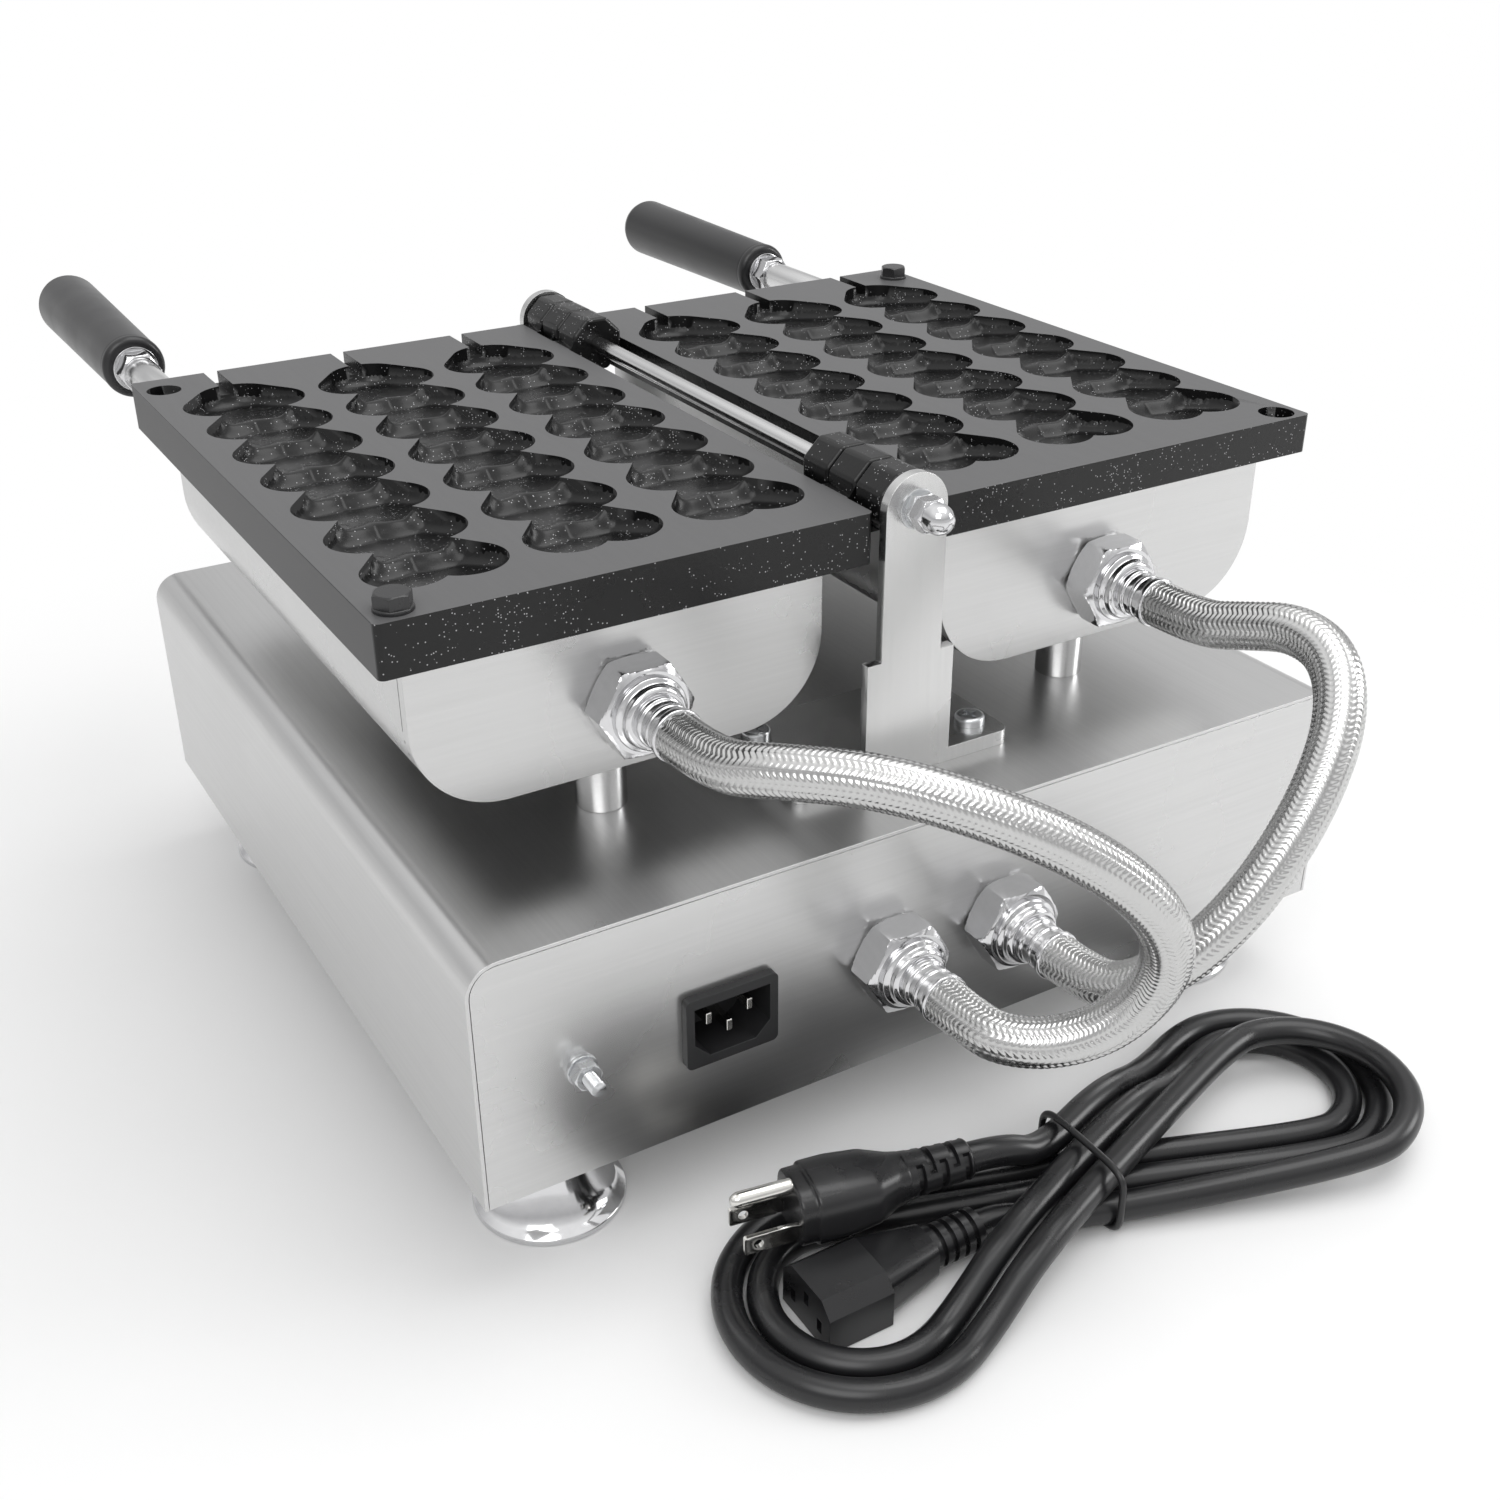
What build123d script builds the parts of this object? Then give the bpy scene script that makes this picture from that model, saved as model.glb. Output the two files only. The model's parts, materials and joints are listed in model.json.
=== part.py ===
from build123d import *
from math import acos, atan2, cos, pi, radians, sin, sqrt, tan

import numpy as np

# Waffle on a stick maker: two hinged baking plates over a steel cabinet. Millimetres, +Z up.
# Origin: on the ground under the middle of the cabinet. The handles and controls are at -Y,
# the inlet and the hoses at +Y. "right" pieces stand at +X, "left" pieces at -X.

# Cabinet
cabinet_width = 325.0
cabinet_depth = 315.0
cabinet_bottom = 34.0
cabinet_height = 83.0
sheet = 1.2
bend_radius = 10.0
wrap_flange = 50.0
panel_flange = 12.0
panel_gap = 0.15
floor_vent_count = 9
floor_vent_pitch = 16.0
floor_vent_length = 90.0
floor_vent_width = 4.0
floor_vent_row_pitch = 117.0

# Feet
foot_inset_x = 33.5
foot_inset_y = 33.0
foot_rim_radius = 24.3
foot_rim_height = 2.4
foot_neck_radius = 11.5
foot_neck_height = 5.0
foot_bolt_radius = 3.0
foot_recess_radius = 7.5
foot_recess_depth = 9.0
foot_head_height = 4.0
foot_nut_height = 5.0
foot_nut_flats = 10.0
foot_bolt_over_nut = 2.0
bolt_hole_gap = 0.15

# Hinge
hinge_z = 205.5
rod_radius = 3.0
rod_running_gap = 0.05
upright_mid_y = 2.0
upright_gap = 1.0
upright_thickness = 3.5
upright_top_width = 22.0
upright_low_width = 32.0
upright_step_z = 158.0
bracket_foot_width = 82.0
bracket_foot_depth = 50.0
bracket_foot_thickness = 5.0
bracket_foot_corner = 4.0
bracket_screw_x = 32.4
bracket_screw_inset = 10.7
bracket_screw_pitch = 28.0
m5_radius = 2.5
m5_head_radius = 5.0
m5_head_height = 3.0
m5_length = 14.0
m5_cross_length = 5.5
m5_cross_width = 1.1
m5_cross_depth = 1.6
m5_head_round = 1.35
thin_nut_flats = 10.0
thin_nut_height = 3.2
acorn_flats = 10.0
acorn_hex_height = 5.0
acorn_dome_radius = 4.7
acorn_length = 12.0
acorn_bore_depth = 8.5
knuckle_flats = 20.0
knuckle_length = 14.0
knuckle_gap = 0.5
arm_reach = 14.0
arm_height = 12.8

# Plates
closed_gap = 0.4
plate_inner_x = 12.3
plate_width = 153.0
plate_depth = 247.0
plate_corner = 2.0
plate_thickness = {"right": 16.0, "left": 13.0}
column_x = (40.5, 88.5, 136.5)
heart_count = 7
heart_first_inset = 41.5
heart_last_inset = 31.0
lobe_x = 8.5
lobe_y = 1.0
lobe_radius = 12.5
tip_radius = 14.0
tip_reach = 22.0
deep_depth = 8.0
shallow_depth = 4.0
stick_width = 5.0
stick_depth = 4.5

# Register pegs and holes, at opposite corners of each plate
register_x = 157.0
register_rear_inset = 7.5
register_front_inset = 14.5
peg_flats = 9.6
peg_height = 5.0
peg_chamfer = 0.8
peg_shank_radius = 3.0
peg_shank_length = 7.0
register_hole_radius = 6.0
register_hole_depth = 6.5

# Heater cases under the plates
case_inner_x = 22.2
case_width = 133.3
case_end_inset = 11.7
case_bottom = 138.0
case_corner = 28.0
case_sheet = 1.0
heater_radius = 4.0
heater_x = (45.0, 75.0, 105.0, 135.0)
heater_front_inset = 17.8
heater_rear_inset = 25.8
heater_bend = 12.0
wool_gap = 0.3
wool_end_gap = 16.0
wool_below_heater = 1.0

# Rest posts
post_x = 90.0
post_inset = 18.8
post_radius = 8.0
post_spigot_radius = 3.0
post_spigot_length = 7.0
post_chamfer = 1.0
rest_gap = 0.3

# Handles
handle_x = {"right": 152.8, "left": 129.8}
handle_rod_radius = 6.0
handle_stud_radius = 4.0
handle_rod_reach = 38.5
handle_thread_depth = 8.0
handle_nut_flats = 14.0
handle_nut_height = 8.0
handle_washer_radius = 8.5
handle_washer_height = 2.0
grip_length = 116.0
grip_near_radius = 12.0
grip_far_radius = 13.0
grip_end_round = 4.0
grip_collar = 3.0
grip_collar_chamfer = 1.5
stud_in_grip = 90.0

# Hose fittings and hoses
case_gland_x = 88.0
case_gland_z = 160.0
base_gland_x = {"right": 24.0, "left": -19.0}
base_gland_z = 73.5
gland_flats = 27.0
gland_height = 12.0
gland_collar_radius = 10.0
gland_collar_height = 5.0
gland_thread_radius = 8.0
gland_thread_length = 8.0
ferrule_radius = 8.8
ferrule_length = 19.0
crimp_radius = 9.3
crimp_width = 3.0
crimp_inset = 3.0
hose_radius = 7.5
hose_bore_radius = 4.5
hose_lead = {"right": (13.2, 9.5), "left": (12.2, 10.5)}
# Bends of each hose as offsets from the straight line between its two ends, at even shares of that line
hose_bends = {
    "right": [
        (-2.7, 27.6, 12.2), (-15.3, 44.9, 21.4), (-30.0, 59.3, 22.6), (-43.7, 68.6, 19.8),
        (-55.3, 72.0, 13.0), (-62.0, 70.3, 4.2), (-61.7, 63.7, -5.5), (-53.3, 54.1, -13.3),
        (-40.0, 44.4, -16.1), (-23.7, 33.8, -13.4), (-9.3, 22.1, -7.2),
    ],
    "left": [
        (-11.7, 21.3, 13.6), (-23.3, 33.5, 28.2), (-30.0, 45.6, 34.8), (-28.7, 53.8, 31.4),
        (-20.3, 55.9, 21.1), (-9.0, 52.1, 7.7), (-0.7, 42.2, -0.7), (2.7, 27.4, -4.1),
    ],
}

# Mains inlet, earth stud
inlet_inset = 80.5
inlet_z = 71.6
inlet_flange_width = 31.2
inlet_flange_height = 24.5
inlet_flange_proud = 3.0
inlet_flange_corner = 2.0
inlet_body_width = 29.0
inlet_body_height = 22.6
inlet_body_depth = 20.0
inlet_cavity_width = 25.6
inlet_cavity_height = 17.8
inlet_cavity_depth = 16.0
inlet_cavity_corner = 5.0
inlet_pin_spacing = 14.0
inlet_pin_width = 4.0
inlet_pin_thickness = 2.0
inlet_pin_length = 14.0
inlet_pin_tail = 7.0
inlet_line_pin_z = 2.6
inlet_earth_pin_z = -2.4
stud_inset = 32.5
stud_z = 72.0
stud_radius = 2.5
stud_proud = 11.0
stud_tip_radius = 2.4
stud_tip_length = 5.6
stud_inside = 9.0
stud_nut_flats = 8.0
stud_nut_height = 4.0
stud_washer_radius = 4.9
stud_washer_height = 1.0

# Front controls (hidden in the photograph)
control_z = 76.0
switch_x = -112.0
switch_bezel = (25.0, 31.0)
switch_bezel_proud = 2.5
switch_bezel_corner = 2.0
switch_body = (21.5, 27.6)
switch_body_depth = 24.0
switch_cavity = (18.8, 25.8)
switch_cavity_depth = 12.0
rocker_width = 18.0
rocker_pin_radius = 1.5
rocker_pin_length = 1.2
rocker_pin_end_gap = 0.24
rocker_tilt = 10.0
rocker_round = 0.8
# Rocker outline in its own plane: along its length, then inwards
rocker_outline = ((-11.2, -6.8), (0, -4.8), (11.2, -6.8), (10.4, 0), (6, 6), (-6, 6), (-10.4, 0))
lamp_x = -74.0
lamp_spacing = 22.0
lamp_radius = 4.0
lamp_bezel_radius = 6.0
lamp_dome = 3.0
lamp_body_depth = 16.0
lamp_bezel_height = 1.5
lamp_dome_round = 2.4
knob_x = {"thermostat": -18.0, "timer": 66.0}
knob_radius = 17.0
knob_height = 18.0
knob_skirt_radius = 19.5
knob_skirt_height = 4.0
knob_stand_off = 0.6
knob_bore_depth = 12.0
knob_round = 1.2
shaft_radius = 3.0
shaft_running_gap = 0.05
shaft_panel_gap = 1.0
pointer_width = 2.4
pointer_depth = 0.8
thermostat_body_size = (36.0, 24.0, 30.0)
timer_body_size = (42.0, 34.0, 38.0)
control_body_corner = 3.0

# Terminal block on the cabinet floor
terminal_size = (22.0, 66.0, 20.0)
terminal_x = 100.0
terminal_y = -10.0
terminal_poles = 6
terminal_groove = 3.0
terminal_groove_width = 1.5

# Cord set lying behind the machine
cord_radius = 4.75
cord_pitch = 10.4
cord_level = 10.8
waist_lift = 1.7
waist_x = -8.0
waist_y = 214.0
waist_angle = 20.0
loop_sides = 8
loop_level_share = 0.8
top_loop_fall = 0.3
right_loop_radius = 25.7
left_loop_radius = 27.5
hump_half_length = 36.0
hump_foot = 66.0
waist_flat = 24.0
tie_x = -11.0
tie_width = 2.2
tie_wall = 1.4
tie_inside_width = 36.0
tie_inside_height = 21.6
tie_inside_z = 1.5
tie_corner = 4.0
plug_end = (24.0, 201.0, 23.5)
plug_lead = 13.0
plug_strand_level_from = -3.0
plug_heading = -9.7
plug_relief_length = 22.0
plug_body_length = 36.0
plug_body_radius = 12.0
plug_relief_radius = 7.0
plug_neck_step = 1.5
plug_neck_length = 12.0
blade_length = 17.0
blade_height = 6.4
blade_thickness = 1.5
blade_spacing = 12.7
blade_drop = 3.5
earth_prong_radius = 2.4
earth_prong_offset = 11.9
earth_prong_extra = 2.0
connector_end = (30.0, 214.0, 8.9)
connector_lead = 8.0
low_until = 16.0
connector_heading = 0.0
connector_relief_length = 18.0
connector_body_length = 20.0
connector_head_length = 22.0
connector_neck = (14.5, 13.2)
connector_shoulder = (22.0, 16.0)
connector_body_corner = 4.0
connector_head = (25.0, 17.0)
connector_corner = 4.5
connector_relief_radius = 6.6
connector_slot = (4.4, 2.4)
connector_slot_depth = 17.6
connector_slot_places = ((-7.0, -2.0), (7.0, -2.0), (0.0, 2.4))
relief_groove_count = 4
relief_groove = 1.6
relief_groove_depth = 1.5

# Values worked out from the driving dimensions
cabinet_top = cabinet_bottom + cabinet_height
panel_rear_y = cabinet_depth / 2
panel_front_y = -cabinet_depth / 2
foot_x = cabinet_width / 2 - foot_inset_x
foot_y = cabinet_depth / 2 - foot_inset_y
inlet_x = cabinet_width / 2 - inlet_inset
stud_x = cabinet_width / 2 - stud_inset
face_z = hinge_z - closed_gap / 2
plate_mid_x = plate_inner_x + plate_width / 2
plate_front_y = upright_mid_y - plate_depth / 2
plate_rear_y = plate_front_y + plate_depth
heart_first_y = plate_front_y + heart_first_inset
heart_pitch = (plate_depth - heart_first_inset - heart_last_inset) / (heart_count - 1)
register_rear_y = plate_rear_y - register_rear_inset
register_front_y = plate_front_y + register_front_inset
case_rear_y = plate_rear_y - case_end_inset
case_front_y = plate_front_y + case_end_inset
heater_rear_y = case_rear_y - heater_rear_inset
heater_front_y = case_front_y + heater_front_inset
post_rear_y = case_rear_y - post_inset
post_front_y = case_front_y + post_inset
handle_rod_end_y = plate_front_y - handle_rod_reach
case_mid_x = case_inner_x + case_width / 2
upright_outer = plate_depth / 2 + upright_gap + upright_thickness
upright_rear_y = upright_mid_y + upright_outer
upright_front_y = upright_mid_y - upright_outer
knuckle_step = knuckle_length + knuckle_gap
side_sign = {"right": 1, "left": -1}
stud_step_y = panel_rear_y + stud_proud - stud_tip_length
floor_sheet_top = cabinet_bottom + 2 * sheet
run_share = 0.45


def across(y):
    """Upright plane at y: its x is +X, its y is +Z, and it extrudes towards -Y."""
    return Plane(origin=(0, y, 0), x_dir=(1, 0, 0), z_dir=(0, -1, 0))


def plate_bottom(side):
    return face_z - plate_thickness[side]


def save(piece, name):
    """Labels a finished piece and writes it."""
    piece.part.label = name
    export_step(piece.part, f"parts/{name}.step")


def rounded_top(width, low, high, radius, mode=Mode.ADD):
    """Upright outline whose two top corners are rounded."""
    with Locations((0, (low + high) / 2)):
        RectangleRounded(width, high - low, radius, mode=mode)
    with Locations((0, low + (high - low) / 4)):
        Rectangle(width, (high - low) / 2, mode=mode)


def rounded_bottom(middle, width, low, high, radius):
    """Upright outline whose two bottom corners are rounded, alone in its sketch."""
    height = high - low
    with Locations((middle, high)):
        RectangleRounded(width, 2 * height, radius)
    with Locations((middle, high + height)):
        Rectangle(width + 2, 2 * height, mode=Mode.SUBTRACT)


def rod_along_y(x, z, radius, start_y, end_y, mode=Mode.ADD):
    """Round bar along Y from the rear end start_y to the front end end_y."""
    with BuildSketch(across(start_y)) as outline:
        with Locations((x, z)):
            Circle(radius)
    extrude(outline.sketch, amount=start_y - end_y, mode=mode)


def hex_along_y(x, z, flats, start_y, end_y):
    """Hexagonal bar along Y, one flat upwards."""
    with BuildSketch(across(start_y)) as outline:
        with Locations((x, z)):
            RegularPolygon(flats / 2, 6, major_radius=False, rotation=30)
    extrude(outline.sketch, amount=start_y - end_y)


def bend_radii(points):
    """Arc radius at each inner point: run_share of its shorter run over the tangent of half its turn."""
    radii = []
    for before, corner, after in zip(points, points[1:], points[2:]):
        arriving = Vector(*corner) - Vector(*before)
        leaving = Vector(*after) - Vector(*corner)
        half_turn = radians(arriving.get_angle(leaving) / 2)
        radii.append(run_share * min(arriving.length, leaving.length) / tan(half_turn))
    return radii


# Cabinet wrap: top and sides in one folded sheet with return flanges under the sides
bracket_screw_ys = []
for outer_y, inward in ((upright_rear_y, -1), (upright_front_y, 1)):
    near = outer_y + inward * bracket_screw_inset
    bracket_screw_ys += [near, near + inward * bracket_screw_pitch]
bracket_screw_places = [(x, y) for x in (-bracket_screw_x, bracket_screw_x) for y in bracket_screw_ys]
post_places = [(x, y) for x in (-post_x, post_x) for y in (post_rear_y, post_front_y)]
foot_places = [(x, y) for x in (-foot_x, foot_x) for y in (-foot_y, foot_y)]

with BuildPart() as base_wrap:
    with BuildSketch(across(panel_rear_y)):
        rounded_top(cabinet_width, cabinet_bottom, cabinet_top, bend_radius)
        rounded_top(
            cabinet_width - 2 * sheet, cabinet_bottom - sheet, cabinet_top - sheet,
            bend_radius - sheet, Mode.SUBTRACT,
        )
    extrude(amount=cabinet_depth)
    flange_length = cabinet_depth - 2 * (sheet + panel_gap)
    with BuildSketch(Plane.XY.offset(cabinet_bottom)):
        for sign in (-1, 1):
            with Locations((sign * (cabinet_width - wrap_flange) / 2, 0)):
                Rectangle(wrap_flange, flange_length)
    extrude(amount=sheet)
    with BuildSketch(Plane.XY.offset(cabinet_top)):
        with Locations(*bracket_screw_places):
            Circle(m5_radius + bolt_hole_gap)
        with Locations(*post_places):
            Circle(post_spigot_radius + bolt_hole_gap)
    extrude(amount=-sheet, mode=Mode.SUBTRACT)
    with BuildSketch(Plane.XY.offset(cabinet_bottom)):
        with Locations(*foot_places):
            Circle(foot_bolt_radius + bolt_hole_gap)
    extrude(amount=sheet, mode=Mode.SUBTRACT)
save(base_wrap, "base_wrap")

# Cabinet floor on the return flanges, with two rows of vent slots
with BuildPart() as bottom_plate:
    with BuildSketch(Plane.XY.offset(cabinet_bottom + sheet)):
        Rectangle(cabinet_width - 2 * (sheet + panel_gap), flange_length)
        with GridLocations(floor_vent_pitch, floor_vent_row_pitch, floor_vent_count, 2):
            SlotOverall(floor_vent_length, floor_vent_width, rotation=90, mode=Mode.SUBTRACT)
        with Locations(*foot_places):
            Circle(foot_bolt_radius + bolt_hole_gap, mode=Mode.SUBTRACT)
    extrude(amount=sheet)
save(bottom_plate, "bottom_plate")


def panel_blank(outer_y, inward):
    """Flat end panel with a return flange on its top and sides, set inside the wrap."""
    wide = cabinet_width - 2 * (sheet + panel_gap)
    high = cabinet_top - sheet - panel_gap
    round_radius = bend_radius - sheet - panel_gap
    start = outer_y if inward < 0 else outer_y + sheet
    with BuildSketch(across(start)) as face:
        rounded_top(wide, cabinet_bottom, high, round_radius)
    extrude(face.sketch, amount=sheet)
    start = outer_y if inward < 0 else outer_y + panel_flange
    low = floor_sheet_top + panel_gap
    with BuildSketch(across(start)) as rim:
        rounded_top(wide, low, high, round_radius)
        rounded_top(wide - 2 * sheet, low - sheet, high - sheet, round_radius - sheet, Mode.SUBTRACT)
    extrude(rim.sketch, amount=panel_flange)


with BuildPart() as rear_panel:
    panel_blank(panel_rear_y, -1)
    with BuildSketch(across(panel_rear_y)):
        with Locations((inlet_x, inlet_z)):
            Rectangle(inlet_body_width + 2 * panel_gap, inlet_body_height + 2 * panel_gap)
        with Locations((base_gland_x["right"], base_gland_z), (base_gland_x["left"], base_gland_z)):
            Circle(gland_thread_radius + bolt_hole_gap)
        with Locations((stud_x, stud_z)):
            Circle(stud_radius + bolt_hole_gap)
    extrude(amount=sheet, mode=Mode.SUBTRACT)
save(rear_panel, "rear_panel")

lamp_places = [(lamp_x, control_z - lamp_spacing / 2), (lamp_x, control_z + lamp_spacing / 2)]
with BuildPart() as front_panel:
    panel_blank(panel_front_y, 1)
    with BuildSketch(across(panel_front_y + sheet)):
        with Locations((switch_x, control_z)):
            Rectangle(switch_body[0] + 2 * panel_gap, switch_body[1] + 2 * panel_gap)
        with Locations(*lamp_places):
            Circle(lamp_radius + bolt_hole_gap)
        with Locations((knob_x["thermostat"], control_z), (knob_x["timer"], control_z)):
            Circle(shaft_radius + shaft_panel_gap)
    extrude(amount=sheet, mode=Mode.SUBTRACT)
save(front_panel, "front_panel")

# Feet: turned bells with a flat rim, each on its own bolt
foot_names = {
    (-foot_x, -foot_y): "foot_front_left", (-foot_x, foot_y): "foot_rear_left",
    (foot_x, -foot_y): "foot_front_right", (foot_x, foot_y): "foot_rear_right",
}
flare_drop = cabinet_bottom - foot_neck_height - foot_rim_height
for (x, y), name in foot_names.items():
    with BuildPart() as foot:
        with BuildSketch(Plane(origin=(x, y, 0), x_dir=(1, 0, 0), z_dir=(0, -1, 0))):
            with BuildLine():
                Polyline((0, 0), (foot_rim_radius, 0), (foot_rim_radius, foot_rim_height))
                Spline(
                    (foot_rim_radius, foot_rim_height),
                    (foot_neck_radius, cabinet_bottom - foot_neck_height),
                    tangents=((-1, 0.55), (-0.25, 1)),
                )
                Polyline(
                    (foot_neck_radius, cabinet_bottom - foot_neck_height),
                    (foot_neck_radius, cabinet_bottom), (0, cabinet_bottom), (0, 0),
                )
            make_face()
        revolve(axis=Axis((x, y, 0), (0, 0, 1)))
        with BuildSketch(Plane.XY):
            with Locations((x, y)):
                Circle(foot_recess_radius)
        extrude(amount=foot_recess_depth, mode=Mode.SUBTRACT)
        with BuildSketch(Plane.XY):
            with Locations((x, y)):
                Circle(foot_bolt_radius + bolt_hole_gap)
        extrude(amount=cabinet_bottom, mode=Mode.SUBTRACT)
    save(foot, name)

# Foot bolts: head up inside the foot, nut on the cabinet floor
with BuildPart() as foot_bolts:
    with BuildSketch(Plane.XY.offset(foot_recess_depth - foot_head_height)):
        with Locations(*foot_places):
            RegularPolygon(foot_nut_flats / 2, 6, major_radius=False)
    extrude(amount=foot_head_height)
    with BuildSketch(Plane.XY.offset(foot_recess_depth)):
        with Locations(*foot_places):
            Circle(foot_bolt_radius)
    extrude(amount=floor_sheet_top + foot_nut_height + foot_bolt_over_nut - foot_recess_depth)
    with BuildSketch(Plane.XY.offset(floor_sheet_top)):
        with Locations(*foot_places):
            RegularPolygon(foot_nut_flats / 2, 6, major_radius=False)
    extrude(amount=foot_nut_height)
save(foot_bolts, "foot_bolts")


def make_bracket(outer_y, inward, name):
    """Foot plate with a stepped upright along its outer edge, round at the hinge rod."""
    with BuildPart() as bracket:
        with BuildSketch(Plane.XY.offset(cabinet_top)):
            with Locations((0, outer_y + inward * bracket_foot_depth / 2)):
                RectangleRounded(bracket_foot_width, bracket_foot_depth, bracket_foot_corner)
            with Locations(*[place for place in bracket_screw_places if place[1] * outer_y > 0]):
                Circle(m5_radius + bolt_hole_gap, mode=Mode.SUBTRACT)
        extrude(amount=bracket_foot_thickness)
        start = outer_y if inward < 0 else outer_y + upright_thickness
        with BuildSketch(across(start)):
            with Locations((0, hinge_z)):
                Circle(upright_top_width / 2)
            with Locations((0, (hinge_z + cabinet_top) / 2)):
                Rectangle(upright_top_width, hinge_z - cabinet_top)
            with Locations((0, (upright_step_z + cabinet_top) / 2)):
                Rectangle(upright_low_width, upright_step_z - cabinet_top)
            with Locations((0, hinge_z)):
                Circle(rod_radius + rod_running_gap, mode=Mode.SUBTRACT)
        extrude(amount=upright_thickness)
    save(bracket, name)


make_bracket(upright_rear_y, -1, "hinge_bracket_rear")
make_bracket(upright_front_y, 1, "hinge_bracket_front")

# Pan head screws through the bracket feet
bracket_seat = cabinet_top + bracket_foot_thickness
with BuildPart() as bracket_screws:
    with BuildSketch(Plane.XY.offset(bracket_seat)):
        with Locations(*bracket_screw_places):
            Circle(m5_head_radius)
    extrude(amount=m5_head_height)
    fillet(bracket_screws.edges().group_by(Axis.Z)[-1], m5_head_round)
    with BuildSketch(Plane.XY.offset(bracket_seat)):
        with Locations(*bracket_screw_places):
            Circle(m5_radius)
    extrude(amount=-m5_length)
    with BuildSketch(Plane.XY.offset(bracket_seat + m5_head_height)):
        with Locations(*bracket_screw_places):
            Rectangle(m5_cross_length, m5_cross_width)
            Rectangle(m5_cross_width, m5_cross_length)
    extrude(amount=-m5_cross_depth, mode=Mode.SUBTRACT)
save(bracket_screws, "bracket_screws")

# Hinge rod with a thin nut and an acorn nut outside each upright
nut_seats = ((upright_rear_y, 1), (upright_front_y, -1))
rod_overhang = thin_nut_height + acorn_bore_depth
with BuildPart() as hinge_rod:
    rod_along_y(0, hinge_z, rod_radius, upright_rear_y + rod_overhang, upright_front_y - rod_overhang)
save(hinge_rod, "hinge_rod")

with BuildPart() as rod_nuts:
    for seat_y, outward in nut_seats:
        outer_y = seat_y + outward * thin_nut_height
        hex_along_y(0, hinge_z, thin_nut_flats, max(seat_y, outer_y), min(seat_y, outer_y))
        rod_along_y(0, hinge_z, rod_radius, max(seat_y, outer_y), min(seat_y, outer_y), Mode.SUBTRACT)
save(rod_nuts, "rod_nuts")

with BuildPart() as acorn_nuts:
    for seat_y, outward in nut_seats:
        foot_y_of_nut = seat_y + outward * thin_nut_height
        with BuildSketch(Plane(origin=(0, foot_y_of_nut, hinge_z), x_dir=(1, 0, 0), z_dir=(0, outward, 0))):
            RegularPolygon(acorn_flats / 2, 6, major_radius=False, rotation=30)
        extrude(amount=acorn_hex_height)
        dome_centre = acorn_length - acorn_dome_radius
        with BuildSketch(Plane(origin=(0, foot_y_of_nut, hinge_z), x_dir=(1, 0, 0), z_dir=(0, outward, 0))):
            Circle(acorn_dome_radius)
        extrude(amount=dome_centre)
        with Locations((0, foot_y_of_nut + outward * dome_centre, hinge_z)):
            Sphere(acorn_dome_radius)
        with BuildSketch(Plane(origin=(0, foot_y_of_nut, hinge_z), x_dir=(1, 0, 0), z_dir=(0, outward, 0))):
            Circle(rod_radius)
        extrude(amount=acorn_bore_depth, mode=Mode.SUBTRACT)
save(acorn_nuts, "acorn_nuts")

# Rest posts that carry the heater cases when the plates lie open
with BuildPart() as rest_posts:
    with BuildSketch(Plane.XY.offset(cabinet_top)):
        with Locations(*post_places):
            Circle(post_radius)
    extrude(amount=case_bottom - rest_gap - cabinet_top)
    chamfer(rest_posts.edges().group_by(Axis.Z)[-1], post_chamfer)
    with BuildSketch(Plane.XY.offset(cabinet_top)):
        with Locations(*post_places):
            Circle(post_spigot_radius)
    extrude(amount=-post_spigot_length)
save(rest_posts, "rest_posts")


def tangent_web(centre_a, radius_a, centre_b, radius_b):
    """Four-sided web between two circles, bounded by their two outer tangent lines."""
    run_x, run_y = centre_b[0] - centre_a[0], centre_b[1] - centre_a[1]
    heading = atan2(run_y, run_x)
    opening = acos((radius_a - radius_b) / sqrt(run_x ** 2 + run_y ** 2))
    ends = []
    for centre, radius, signs in ((centre_a, radius_a, (1, -1)), (centre_b, radius_b, (-1, 1))):
        for sign in signs:
            angle = heading + sign * opening
            ends.append((centre[0] + radius * cos(angle), centre[1] + radius * sin(angle)))
    return ends


def heart(shift_y, mode=Mode.ADD):
    """Heart outline with its point towards -Y: two lobes and a rounded tip, joined by tangents."""
    tip = (0, shift_y + tip_radius - tip_reach)
    with Locations(tip):
        Circle(tip_radius, mode=mode)
    for sign in (-1, 1):
        lobe = (sign * lobe_x, shift_y + lobe_y)
        with Locations(lobe):
            Circle(lobe_radius, mode=mode)
        Polygon(*tangent_web(lobe, lobe_radius, tip, tip_radius), align=None, mode=mode)


floor_slope = (deep_depth - shallow_depth) / heart_pitch
heart_rear = lobe_y + lobe_radius
depth_at_middle = shallow_depth + floor_slope * heart_rear


def knuckle_starts(side):
    """Front ends of one plate's knuckles, which alternate along the rod with the other plate's."""
    front = [plate_front_y + i * knuckle_step for i in range(3)]
    rear = [plate_rear_y - knuckle_length - i * knuckle_step for i in range(3)]
    if side == "right":
        return [front[0], front[2], rear[1]]
    return [front[1], rear[0], rear[2]]


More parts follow.
